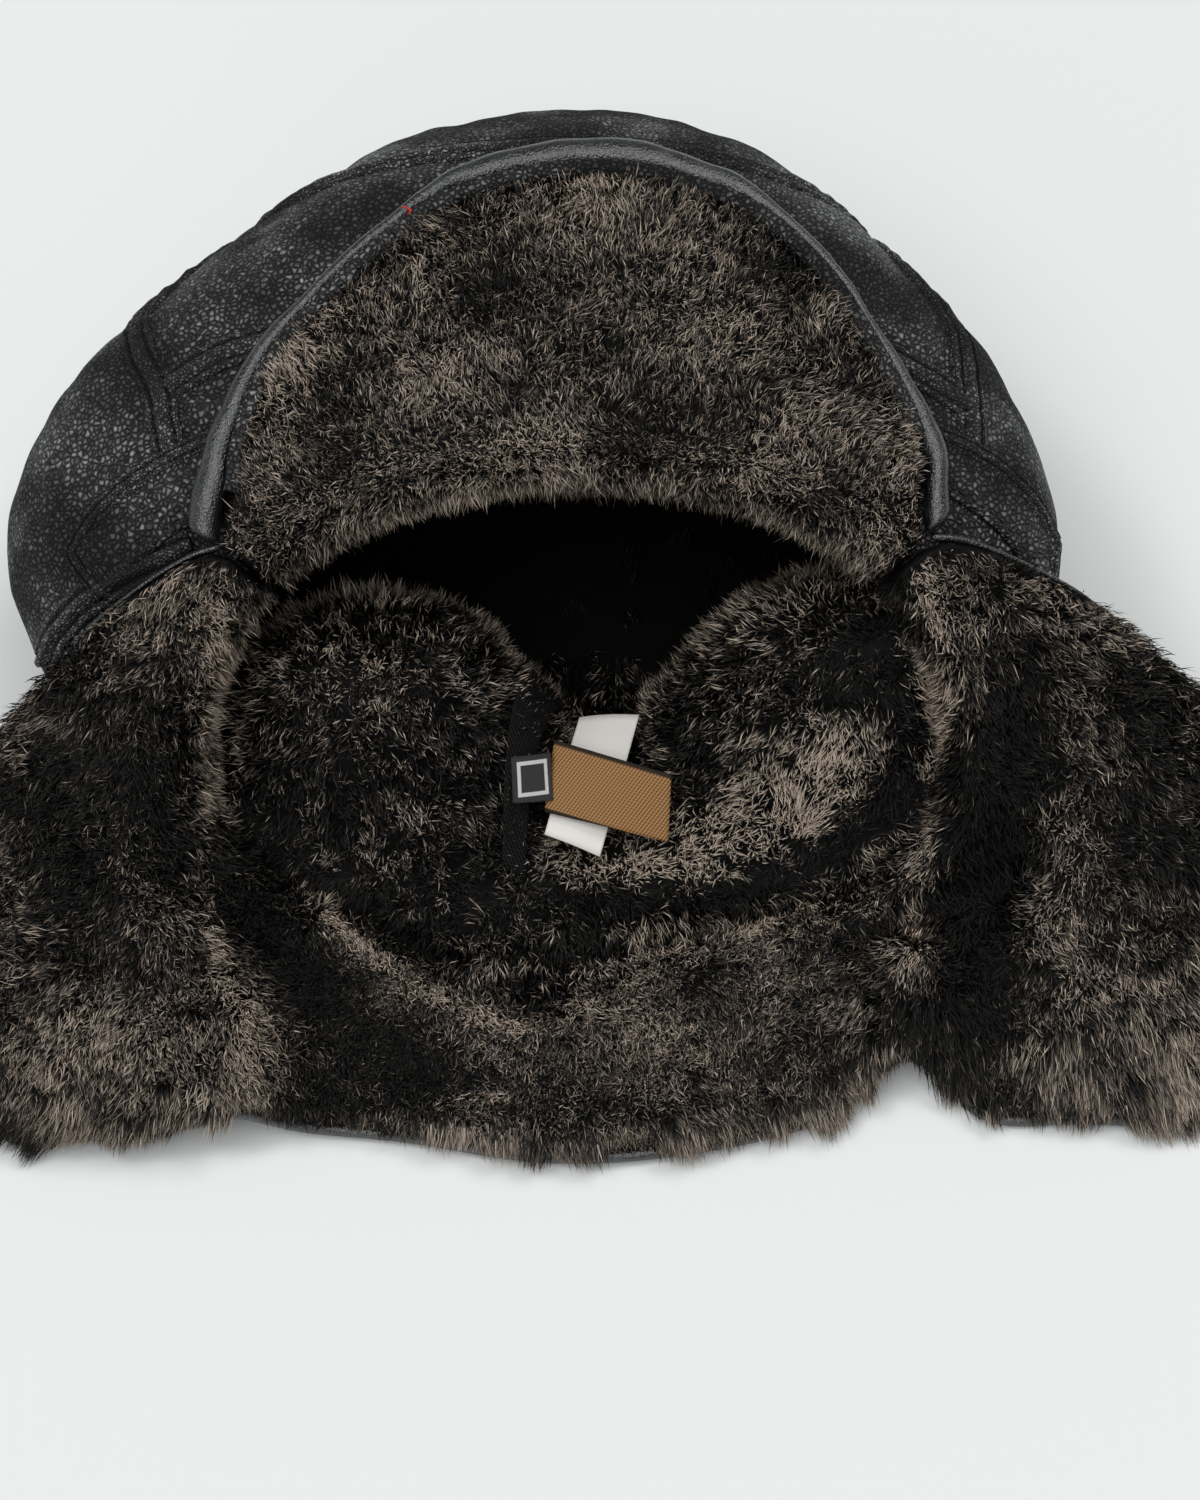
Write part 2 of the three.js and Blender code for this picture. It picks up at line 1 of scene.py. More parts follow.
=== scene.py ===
"""Visual model of a black leather aviator hat with clipped wool inside.

The hat lies on the back of its crown on a pale floor. The forehead side is up, the front flap is
turned up and the ear and neck flap is spread out. The shapes are worked out in millimetres in
the maker's own frame, and Placement brings them to the row frame in metres.
"""

from __future__ import annotations

import logging
import math
from collections.abc import Callable, Mapping
from dataclasses import dataclass
from enum import Enum

import bmesh
import bpy
import numpy as np
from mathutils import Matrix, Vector

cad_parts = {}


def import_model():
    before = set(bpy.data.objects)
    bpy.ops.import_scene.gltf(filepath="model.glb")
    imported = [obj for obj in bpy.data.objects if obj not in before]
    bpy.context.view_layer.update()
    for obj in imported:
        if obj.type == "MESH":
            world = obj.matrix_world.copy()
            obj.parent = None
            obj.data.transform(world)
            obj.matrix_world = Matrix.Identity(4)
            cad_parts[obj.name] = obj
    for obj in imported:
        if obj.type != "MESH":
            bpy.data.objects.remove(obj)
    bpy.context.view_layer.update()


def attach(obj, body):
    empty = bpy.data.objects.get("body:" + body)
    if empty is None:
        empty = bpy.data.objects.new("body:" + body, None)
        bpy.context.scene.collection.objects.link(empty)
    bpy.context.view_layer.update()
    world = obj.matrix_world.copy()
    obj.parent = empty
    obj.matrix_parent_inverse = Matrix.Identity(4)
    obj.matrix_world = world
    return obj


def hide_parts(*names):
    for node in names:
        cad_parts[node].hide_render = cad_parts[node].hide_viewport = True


LOG = logging.getLogger("aviator_hat")
Array = np.ndarray
Point = Callable[[Array, Array], Array]
Pair = tuple[float, float]
Triple = tuple[float, float, float]
Cells = tuple[int, int]
Socket = bpy.types.NodeSocket
Sockets = Mapping[str, Socket]

FAR = 1e9


# ---------------------------------------------------------------- numbers and small helpers


class Table:
    """A short table with named columns, read smoothly at any value of its first column."""

    def __init__(self, names: str, *rows: tuple[float, ...]) -> None:
        """Keeps the rows.

        Args:
            names: The column names, separated by spaces.
            rows: One tuple of numbers per row, in the order of the names.
        """
        self.names = names.split()
        self.data = np.array(rows, float)

    def read(self, at: Array | float) -> dict[str, Array]:
        """Reads every column at given values of the first one.

        Args:
            at: Values of the first column.

        Returns:
            One array per column name.
        """
        at = np.asarray(at, float)
        key = self.data[:, 0]
        last = len(key) - 1
        i = np.clip(np.searchsorted(key, at, side="left") - 1, 0, last - 1)
        before, after = np.maximum(i - 1, 0), np.minimum(i + 2, last)
        span = key[i + 1] - key[i]
        t = np.clip((at - key[i]) / span, 0, 1)
        blend = smooth(t)
        leave, arrive = t * (1 - t) ** 2, t * t * (t - 1)
        out = {}
        for k, name in enumerate(self.names):
            c = self.data[:, k]
            m0 = (c[i + 1] - c[before]) / (key[i + 1] - key[before]) * span
            m1 = (c[after] - c[i]) / (key[after] - key[i]) * span
            out[name] = c[i] * (1 - blend) + c[i + 1] * blend + m0 * leave + m1 * arrive
        return out


def smooth(t: Array) -> Array:
    """Shares from 0 to 1, eased at both ends."""
    return t * t * (3 - 2 * t)


def unit(v: Array) -> Array:
    """Vectors of length one in the given directions."""
    return v / np.maximum(np.linalg.norm(v, axis=-1, keepdims=True), 1e-12)


def dot(a: Array, b: Array) -> Array:
    """Dot products along the last axis, kept as a column."""
    return (a * b).sum(-1, keepdims=True)


def mix(a: Array, b: Array, t: Array) -> Array:
    """Straight blend from a to b."""
    return a + (b - a) * t


def stack(x: Array, y: Array, z: Array) -> Array:
    """Points from their three coordinates."""
    return np.stack(np.broadcast_arrays(x, y, z), -1)


def cross_grid(u: Array, v: Array) -> tuple[Array, Array]:
    """Both coordinates at every point of a grid."""
    return tuple(np.broadcast_arrays(u[:, None], v[None, :]))


def read_grid(grid: Array, i: Array, j: Array) -> Array:
    """Reads a grid between its points.

    Args:
        grid: The grid.
        i: Fractional places along the first direction.
        j: Fractional places along the second direction.

    Returns:
        The blended values.
    """
    a = np.clip(i.astype(int), 0, grid.shape[0] - 2)
    b = np.clip(j.astype(int), 0, grid.shape[1] - 2)
    s, t = (i - a)[..., None], (j - b)[..., None]
    low = mix(grid[a, b], grid[a + 1, b], s)
    high = mix(grid[a, b + 1], grid[a + 1, b + 1], s)
    return mix(low, high, t)


def close_end(layer: Array) -> Array:
    """Draws the last points of all rows of a grid together, in place."""
    layer[:, -1] = layer[:, -1].mean(0)
    return layer


class Waves:
    """Smooth repeatable noise in space: a sum of sine waves in many directions."""

    def __init__(self, length: float, seed: int, count: int = 14) -> None:
        """Draws the waves.

        Args:
            length: Typical wavelength in millimetres.
            seed: Seed of the draw.
            count: Number of waves.
        """
        rng = np.random.default_rng(seed)
        turn = unit(rng.normal(size=(count, 3)))
        self.way = turn * (2 * math.pi / length) * rng.uniform(0.6, 1.6, (count, 1))
        self.phase = rng.uniform(0, 2 * math.pi, count)
        self.scale = math.sqrt(2 / count)

    def at(self, points: Array) -> Array:
        """Noise of about unit size.

        Args:
            points: Points in millimetres, along the last axis.

        Returns:
            One value per point.
        """
        flat = points.reshape(-1, 3)
        total = np.zeros(len(flat))
        for way, phase in zip(self.way, self.phase):
            total += np.sin(flat @ way + phase)
        return (total * self.scale).reshape(points.shape[:-1])


@dataclass(frozen=True)
class Placement:
    """Brings points from the maker's frame in millimetres to the row frame in metres."""

    shift_x: float = -10.0
    shift_y: float = -132.5

    def row(self, points: Array) -> Array:
        """Points in the row frame, in metres."""
        return (points + np.array([self.shift_x, self.shift_y, 0.0])) / 1000.0


PLACE = Placement()


# ---------------------------------------------------------------- the hat's form


@dataclass(frozen=True)
class Layers:
    """Thickness of the wool and the leather, and the small gap between them, in millimetres."""

    leather: float = 1.5
    fleece: float = 9.0
    gap: float = 0.35
    front_gap: float = 2.4
    roll_share: float = 0.3
    rim_blend: float = 4.0
    rim_gap: float = 1.1

    @property
    def wall(self) -> float:
        """Whole thickness of wool, gap and leather."""
        return self.fleece + self.gap + self.leather

    @property
    def half(self) -> float:
        """Radius of the roll over the rim."""
        return self.wall + self.front_gap / 2


LAYERS = Layers()


@dataclass
class Skin:
    """A curved surface with softened normals, so that layers can be laid under it.

    Its second coordinate runs from 0 to 1. It is measured on a grid of nu by nv cells, whose
    normals are averaged with their neighbours soften times and turned round by a facing of -1.
    A rim gives the normal that the surface blends to at 0, and turn is the angle in radians of
    its roll over the rim.
    """

    point: Point
    u: Pair
    loop: bool = False
    nu: int = 96
    nv: int = 40
    soften: int = 3
    facing: int = 1
    rim: Callable[[Array], Array] | None = None
    turn: Callable[[Array], Array] | None = None

    def __post_init__(self) -> None:
        """Measures the normals on the grid."""
        nu, nv = self.nu, self.nv
        grid = self.point(*cross_grid(np.linspace(*self.u, nu + 1), np.linspace(0, 1, nv + 1)))
        i, j = np.arange(nu + 1), np.arange(nv + 1)
        if self.loop:
            ahead, behind = (i + 1) % nu, (i - 1) % nu
        else:
            ahead, behind = np.minimum(i + 1, nu), np.maximum(i - 1, 0)
        up, down = np.minimum(j + 1, nv), np.maximum(j - 1, 0)
        normal = unit(np.cross(grid[ahead] - grid[behind], grid[:, up] - grid[:, down]))
        normal = normal * self.facing
        for _ in range(self.soften):
            near = 2 * normal + normal[behind] + normal[ahead] + normal[:, down]
            normal = unit(near + normal[:, up])
        if self.loop:
            normal[nu] = normal[0]
        self.normals = normal

    def normal(self, u: Array, v: Array) -> Array:
        """Normals, which point away from the wool side.

        Args:
            u: First coordinates.
            v: Second coordinates.

        Returns:
            One unit vector per place.
        """
        a = (u - self.u[0]) / (self.u[1] - self.u[0]) * self.nu
        a = a % self.nu if self.loop else a
        places = np.clip(a, 0, self.nu), np.clip(v * self.nv, 0, self.nv)
        return unit(read_grid(self.normals, *places))

    def rim_rate(self, u: Array) -> Array:
        """Millimetres of roll for one unit of the second coordinate."""
        return LAYERS.half * self.turn(u) / LAYERS.roll_share

    def layer_normal(self, u: Array, v: Array) -> Array:
        """Normals that blend to the rim's own normal close to the rim.

        Args:
            u: First coordinates.
            v: Second coordinates.

        Returns:
            One unit vector per place.
        """
        n = self.normal(u, v)
        if self.rim is not None:
            t = np.minimum(v * self.rim_rate(u) / LAYERS.rim_blend, 1)[..., None]
            n = unit(mix(n, self.rim(u), 1 - t))
        return n

    def at(self, u: Array, v: Array, depth: Array | float) -> Array:
        """Points a depth below the surface, away from the wool side.

        Args:
            u: First coordinates.
            v: Second coordinates.
            depth: Depth in millimetres.

        Returns:
            The points.
        """
        u, v = np.broadcast_arrays(np.asarray(u, float), np.asarray(v, float))
        depth = np.asarray(depth, float)
        step = depth[..., None] if depth.ndim else depth
        return self.point(u, v) + self.layer_normal(u, v) * step


@dataclass(frozen=True)
class Fold:
    """A ridge, or a furrow where its height is negative, that runs down the ear and neck flap.

    It has its line, its height, its half width on either side and the place where it ends.
    """

    line: Table
    high: float
    left: float
    right: float
    top: float
    ease: float = 24.0

    def lift(self, x: Array, y: Array) -> Array:
        """Height of the fold at points of the plan, in millimetres.

        Args:
            x: First coordinates.
            y: Second coordinates.

        Returns:
            One height per point.
        """
        away = x - self.line.read(y)["x"]
        wide = np.where(away < 0, self.left, self.right)
        near = np.clip((self.top - y) / self.ease, 0, 1)
        return self.high * np.exp(-((away / wide) ** 2)) * near * near * (3 - 2 * near)


@dataclass(frozen=True)
class Pillow:
    """A bulge of the lining, in millimetres.

    It has its centre, its radius to the sides, to the front and to the back, its height and how
    far it leans back.
    """

    x: float
    y: float
    wide: float
    before: float
    behind: float
    high: float
    lean: float
    flatness: float = 2.2
    fall: float = 0.9

    def swell(self, x: Array, y: Array) -> Array:
        """Share of the bulge's height at points of the plan."""
        deep = np.where(y < self.y, self.before, self.behind)
        d = ((x - self.x) / self.wide) ** 2 + ((y - self.y) / deep) ** 2
        return np.exp(-self.fall * d**self.flatness)


@dataclass
class HatForm:
    """The hat's shape: the head hollow, the front flap and the ear and neck flap."""

    rings: Table = Table(
        "s y z tilt left right up down",
        (0.0, 90, 60, 46, 100, 96, 70, 60),
        (0.08, 102, 60, 51.4, 115, 104, 65.5, 60),
        (0.18, 118, 60, 58.6, 132, 114, 61.6, 58),
        (0.34, 142, 63, 66.5, 141, 116, 57, 62),
        (0.5, 168, 66, 74, 131, 109, 56, 66),
        (0.64, 192, 66, 80, 110, 92, 57, 66),
        (0.77, 216, 64, 86, 88, 74, 55, 62),
        (0.89, 246, 61, 92, 58, 50, 42, 47),
        (0.95, 258, 58, 93, 31, 28, 24, 26),
        (1.0, 264, 56, 94, 0.5, 0.5, 0.5, 0.5),
    )
    pillows: tuple[Pillow, ...] = (
        Pillow(-52, 104, wide=44, before=34, behind=30, high=54, lean=12),
        Pillow(67, 106, wide=46, before=33, behind=30, high=60, lean=12),
    )
    rim_ridge: float = 4.0
    ridge_reach: float = 0.035
    swell_start: float = 0.07
    fold_x: float = -14.0
    fold_wide: float = 24.0
    fold_reach: float = 20.0
    fold_depth: float = 0.16
    fold_edge: float = 1.5
    low_from: float = 0.7
    roundness: float = 0.88
    soft_floor: float = 3.0
    front_reach: Table = Table(
        "phi s",
        (37, 0.03), (44, 0.13), (50, 0.24), (58, 0.46), (66, 0.6), (76, 0.66), (86, 0.685),
        (96, 0.67), (106, 0.61), (116, 0.43), (124, 0.22), (130, 0.13), (136, 0.08), (143, 0.03),
    )
    ear_neck: Table = Table(
        "phi turn mx my mz ex ey ez",
        (144.5, 165, -127, 98, 94, -159, 84, 58),
        (160, 150, -138, 80, 74, -179, 62, 30),
        (176, 135, -140, 60, 56, -182, 36, 14),
        (192, 120, -135, 36, 44, -173, 8, 11),
        (206, 105, -122, 18, 38, -148, -6, 11),
        (219, 85, -106, 10, 30, -118, -8, 11),
        (231, 66, -90, 12, 20, -96, -5, 11),
        (241, 40, -76, 12, 16, -78, 0, 11),
        (253, 28, -48, 12, 14, -50, 0, 11),
        (270, 24, -10, 8, 13, -10, -6, 11),
        (288, 28, 26, 14, 14, 27, -4, 11),
        (302, 44, 62, 22, 18, 64, 4, 11),
        (313, 70, 85, 30, 32, 88, 13, 11),
        (325, 98, 106, 34, 38, 112, 4, 11),
        (342, 120, 132, 48, 48, 160, 2, 11),
        (360, 135, 148, 72, 62, 198, 32, 14),
        (376, 150, 145, 94, 78, 199, 72, 30),
        (395.5, 165, 131, 110, 94, 174, 98, 56),
    )
    folds: tuple[Fold, ...] = (
        Fold(
            Table("y x", (1, -88), (20, -87), (34, -92), (57, -97)), high=12, left=30, right=12,
            top=66,
        ),
        Fold(
            Table("y x", (14, 85), (24, 86), (50, 84), (70, 91)), high=9, left=12, right=11, top=72
        ),
        Fold(Table("y x", (24, 107), (61, 109), (91, 114)), high=-7, left=10, right=11, top=96),
    )
    front_span: Pair = (37, 143)
    ear_span: Pair = (144.5, 395.5)

    def __post_init__(self) -> None:
        """Makes the three skins."""
        self.crown = Skin(self.hollow, (0, 360), loop=True, soften=4, facing=-1)
        self.front = Skin(
            self.front_flap, self.front_span, nu=48, soften=2, rim=self.rim_normal,
            turn=lambda phi: np.full(np.shape(phi), math.pi),
        )
        self.ear = Skin(
            self.ear_neck_flap, self.ear_span, rim=self.rim_normal,
            turn=lambda phi: np.radians(self.ear_neck.read(phi)["turn"]),
        )

    def on_table(self, z: Array) -> Array:
        """Heights with a rounded floor one wall above the table.

        Args:
            z: Heights in millimetres.

        Returns:
            The heights, none below the floor.
        """
        low, soft = LAYERS.wall, self.soft_floor
        near = low + (np.clip(z, low - soft, low + soft) - low + soft) ** 2 / (4 * soft)
        return np.where(z > low + soft, z, near)

    def hollow(self, phi: Array, s: Array) -> Array:
        """Points on the wool surface of the head hollow.

        Args:
            phi: Angles round the rim in degrees; 90 is the forehead.
            s: Share of the way from the rim to the far end of the crown.

        Returns:
            Points in millimetres.
        """
        r = self.rings.read(s)
        c, n = np.cos(np.radians(phi)), np.sin(np.radians(phi))
        power = self.roundness
        x = np.sign(c) * np.abs(c) ** power * np.where(c < 0, r["left"], r["right"])
        rise = np.sign(n) * np.abs(n) ** power * np.where(n < 0, r["down"], r["up"])
        share = np.maximum(1 - s / self.fold_depth, 0) * np.minimum(-n * self.fold_edge, 1)
        fold = np.where(n < 0, share, 0)
        near = np.exp(-(((x - self.fold_x) / self.fold_wide) ** 2))
        tilt = np.radians(r["tilt"])
        y = r["y"] + rise * np.cos(tilt) - fold * near * self.fold_reach
        z = self.on_table(r["z"] + rise * np.sin(tilt))
        low = smooth(np.clip(-n / self.low_from, 0, 1))
        z = z + low * self.rim_ridge * np.exp(-((s / self.ridge_reach) ** 2))
        fade = 1 - np.exp(-((s / self.swell_start) ** 2))
        push, lift = np.zeros(z.shape), np.zeros(z.shape)
        for pillow in self.pillows:
            swell = low * fade * pillow.swell(x, y)
            lift, push = lift + pillow.high * swell, push + pillow.lean * swell
        return stack(x, y + push, z + lift)

    def rim_normal(self, phi: Array) -> Array:
        """Normal of the crown at its rim."""
        return self.crown.normal(phi, np.zeros(np.shape(phi)))

    def out_of_rim(self, phi: Array) -> Array:
        """Direction that leads out of the head hollow, square to the rim.

        Args:
            phi: Angles round the rim in degrees.

        Returns:
            One unit vector per angle.
        """
        zero = np.zeros(np.shape(phi))
        along = self.hollow(phi + 2, zero) - self.hollow(phi - 2, zero)
        out = unit(np.cross(self.rim_normal(phi), along))
        way = self.hollow(phi, zero) - self.hollow(phi, zero + 0.04)
        return np.where(dot(out, way) < 0, -out, out)

    def rim_roll(self, phi: Array, turn: Array) -> Array:
        """Points on a roll over the rim.

        Args:
            phi: Angles round the rim in degrees.
            turn: How far round the roll, in radians.

        Returns:
            The points.
        """
        half = LAYERS.half
        p = self.hollow(phi, np.zeros(np.shape(phi)))
        p = p + self.rim_normal(phi) * (half * (1 - np.cos(turn)))[..., None]
        return p + self.out_of_rim(phi) * (half * np.sin(turn))[..., None]

    def front_flap(self, phi: Array, w: Array) -> Array:
        """Points on the wool of the front flap.

        Args:
            phi: Angles round the rim in degrees.
            w: Share of the way from the rim to the free edge.

        Returns:
            The points.
        """
        share = LAYERS.roll_share
        roll = self.rim_roll(phi, math.pi * np.minimum(w, share) / share)
        reach = self.front_reach.read(phi)["s"]
        s = reach * np.maximum(w - share, 0) / (1 - share)
        flat = self.crown.at(phi, s, 2 * LAYERS.half)
        return np.where((w < share)[..., None], roll, flat)

    def ear_neck_flap(self, phi: Array, w: Array) -> Array:
        """Points on the wool of the ear and neck flap.

        Args:
            phi: Angles round the rim in degrees.
            w: Share of the way from the rim to the free edge.

        Returns:
            The points.
        """
        row = self.ear_neck.read(phi)
        angle, share = phi % 360, LAYERS.roll_share
        turn = np.radians(row["turn"])
        roll = self.rim_roll(angle, turn * np.minimum(w, share) / share)
        start = self.rim_roll(angle, turn)
        middle = stack(row["mx"], row["my"], row["mz"])
        end = stack(row["ex"], row["ey"], row["ez"])
        leave = self.rim_normal(angle) * np.sin(turn)[..., None]
        leave = leave + self.out_of_rim(angle) * np.cos(turn)[..., None]
        leave = leave * np.linalg.norm(start - middle, axis=-1, keepdims=True)
        along, arrive = (end - start) / 2, end - middle
        t = np.maximum(w - share, 0) / (1 - share)
        first = hermite(start, leave, middle, along, np.minimum(t * 2, 1))
        second = hermite(middle, along, end, arrive, np.maximum(t * 2 - 1, 0))
        free = np.where((t < 0.5)[..., None], first, second)
        p = np.where((w < share)[..., None], roll, free)
        x, y, z = p[..., 0], p[..., 1], p[..., 2]
        for fold in self.folds:
            z = z + np.minimum(t * 5, 1) * fold.lift(x, y)
        return stack(x, y, self.on_table(z))


def hermite(a: Array, leave: Array, b: Array, arrive: Array, t: Array) -> Array:
    """Points on a smooth curve from a to b with the given end directions.

    Args:
        a: Start.
        leave: Direction and speed at the start.
        b: End.
        arrive: Direction and speed at the end.
        t: Shares of the way.

    Returns:
        One point per share.
    """
    t = t[..., None]
    p = mix(a, b, smooth(t))
    return p + leave * t * (1 - t) ** 2 + arrive * t * t * (t - 1)


# ---------------------------------------------------------------- meshes


def add_object(name: str, data: bpy.types.ID) -> bpy.types.Object:
    """Makes an object and puts it in the scene."""
    obj = bpy.data.objects.new(name, data)
    bpy.context.scene.collection.objects.link(obj)
    return obj


def map_card(obj: bpy.types.Object, place: Callable[[Array], Array]) -> None:
    """Gives a piece the UV map that the woven finishes read.

    Args:
        obj: The piece.
        place: Gives both numbers of the map for points in metres.
    """
    mesh = obj.data
    points, index = np.empty(len(mesh.vertices) * 3), np.empty(len(mesh.loops), int)
    mesh.vertices.foreach_get("co", points)
    mesh.loops.foreach_get("vertex_index", index)
    uv = place(points.reshape(-1, 3))[index]
    mesh.uv_layers.new(name="card").data.foreach_set("uv", uv.astype(np.float32).ravel())


@dataclass
class Net:
    """Points and faces of one piece in the making, in millimetres."""

    points: Array
    faces: Array
    uv: Array | None = None
    normals: Array | None = None
    uv_name: str = "OFBake"

    def make(self, name: str, weld: bool = True) -> bpy.types.Object:
        """Makes the Blender object.

        Args:
            name: Name of the piece.
            weld: Whether points that coincide are merged.

        Returns:
            The linked object, smooth shaded, at the origin.
        """
        mesh = bpy.data.meshes.new(name)
        count, sides = self.faces.shape
        mesh.vertices.add(len(self.points))
        mesh.vertices.foreach_set("co", PLACE.row(self.points).astype(np.float32).ravel())
        mesh.loops.add(count * sides)
        mesh.loops.foreach_set("vertex_index", self.faces.astype(np.int32).ravel())
        mesh.polygons.add(count)
        mesh.polygons.foreach_set("loop_start", np.arange(0, count * sides, sides, dtype=np.int32))
        mesh.polygons.foreach_set("use_smooth", np.ones(count, bool))
        if self.uv is not None:
            layer = mesh.uv_layers.new(name=self.uv_name)
            layer.data.foreach_set("uv", self.uv.astype(np.float32).ravel())
        mesh.update(calc_edges=True)
        if weld:
            mold = bmesh.new()
            mold.from_mesh(mesh)
            bmesh.ops.remove_doubles(mold, verts=mold.verts, dist=1e-6)
            bmesh.ops.recalc_face_normals(mold, faces=mold.faces)
            mold.to_mesh(mesh)
            mold.free()
        if self.normals is not None:
            mesh.normals_split_custom_set_from_vertices(self.normals)
        return add_object(name, mesh)


def lattice(nu: int, nv: int, wrap: bool = False) -> Array:
    """Four-sided faces of a grid whose points are numbered row by row.

    Args:
        nu: Cells along the first direction.
        nv: Cells along the second direction.
        wrap: Whether the first direction closes on itself.

    Returns:
        An array of four point numbers per face.
    """
    i, j = np.meshgrid(np.arange(nu), np.arange(nv), indexing="ij")
    nxt = (i + 1) % nu if wrap else i + 1
    row = nv + 1
    quads = [i * row + j, nxt * row + j, nxt * row + j + 1, i * row + j + 1]
    return np.stack([q.ravel() for q in quads], -1)


def slab(front: Array, back: Array, wrap: bool = False) -> Net:
    """A closed wall between two layers of points.

    Args:
        front: Grid of points of one side; it has one row less when it wraps.
        back: Grid of points of the other side.
        wrap: Whether the first direction closes on itself.

    Returns:
        The closed net.
    """
    rows, columns = front.shape[:2]
    nu, nv = (rows if wrap else rows - 1), columns - 1
    size = rows * columns
    face = lattice(nu, nv, wrap)
    i = np.arange(nu)
    nxt = (i + 1) % nu if wrap else i + 1
    walls = [face, face[:, ::-1] + size]
    for j in (0, nv):
        low, high = i * columns + j, nxt * columns + j
        wall = np.stack([low, low + size, high + size, high], -1)
        walls.append(wall if j == 0 else wall[:, ::-1])
    if not wrap:
        j = np.arange(nv)
        for k in (0, nu):
            low, high = k * columns + j, k * columns + j + 1
            wall = np.stack([high, high + size, low + size, low], -1)
            walls.append(wall if k == 0 else wall[:, ::-1])
    points = np.concatenate([front.reshape(-1, 3), back.reshape(-1, 3)])
    return Net(points, np.concatenate(walls))


def rod(middle: Array, wide: Array, high: Array, sides: int) -> Net:
    """A closed rod along a path, with half axes given at every step.

    Args:
        middle: Points of the path.
        wide: First half axis at each point.
        high: Second half axis at each point.
        sides: Number of sides.

    Returns:
        The closed net; its ends taper to a rounded tip.
    """
    turn = np.arange(sides) * 2 * math.pi / sides
    ends = np.array([0.0, 0.6, 0.9, 1.0])
    share = np.concatenate([ends, np.ones(len(middle) - 8), ends[::-1]])
    c, s = np.cos(turn)[None, :, None], np.sin(turn)[None, :, None]
    ring = middle[:, None] + share[:, None, None] * (wide[:, None] * c + high[:, None] * s)
    points = ring.transpose(1, 0, 2)
    return Net(points.reshape(-1, 3), lattice(sides, len(middle) - 1, wrap=True))


def strip(path: Array, up: Array, profile: tuple[Pair, ...]) -> Net:
    """A closed strip with a constant cross-section along a path on a surface.

    Args:
        path: Points of the path.
        up: Directions away from the surface at each point.
        profile: Offsets across and above the path, in order round the section.

    Returns:
        The closed net.
    """
    along = unit(np.gradient(path, axis=0))
    across = unit(np.cross(up, along))
    ring = [path + across * a + up * h for a, h in profile]
    ring = [np.concatenate([r[:1] * 0 + path[:1], r, r[:1] * 0 + path[-1:]]) for r in ring]
    points = np.stack(ring)
    faces = lattice(len(profile), len(path) + 1, wrap=True)
    side, step = np.divmod(faces, len(path) + 2)
    uv = np.stack([side / len(profile), step / len(path)], -1)
    return Net(points.reshape(-1, 3), faces, uv.reshape(-1, 2), uv_name="card")


# ---------------------------------------------------------------- finishes


class Slot(Enum):
    """Material slots of the record."""

    CROWN = "crown_leather"
    EDGE = "edge_leather"
    WOOL = "wool"
    TAPE = "dark_tape"
    BROWN = "brown_label"
    DARK = "dark_label"
    WHITE = "white_label"


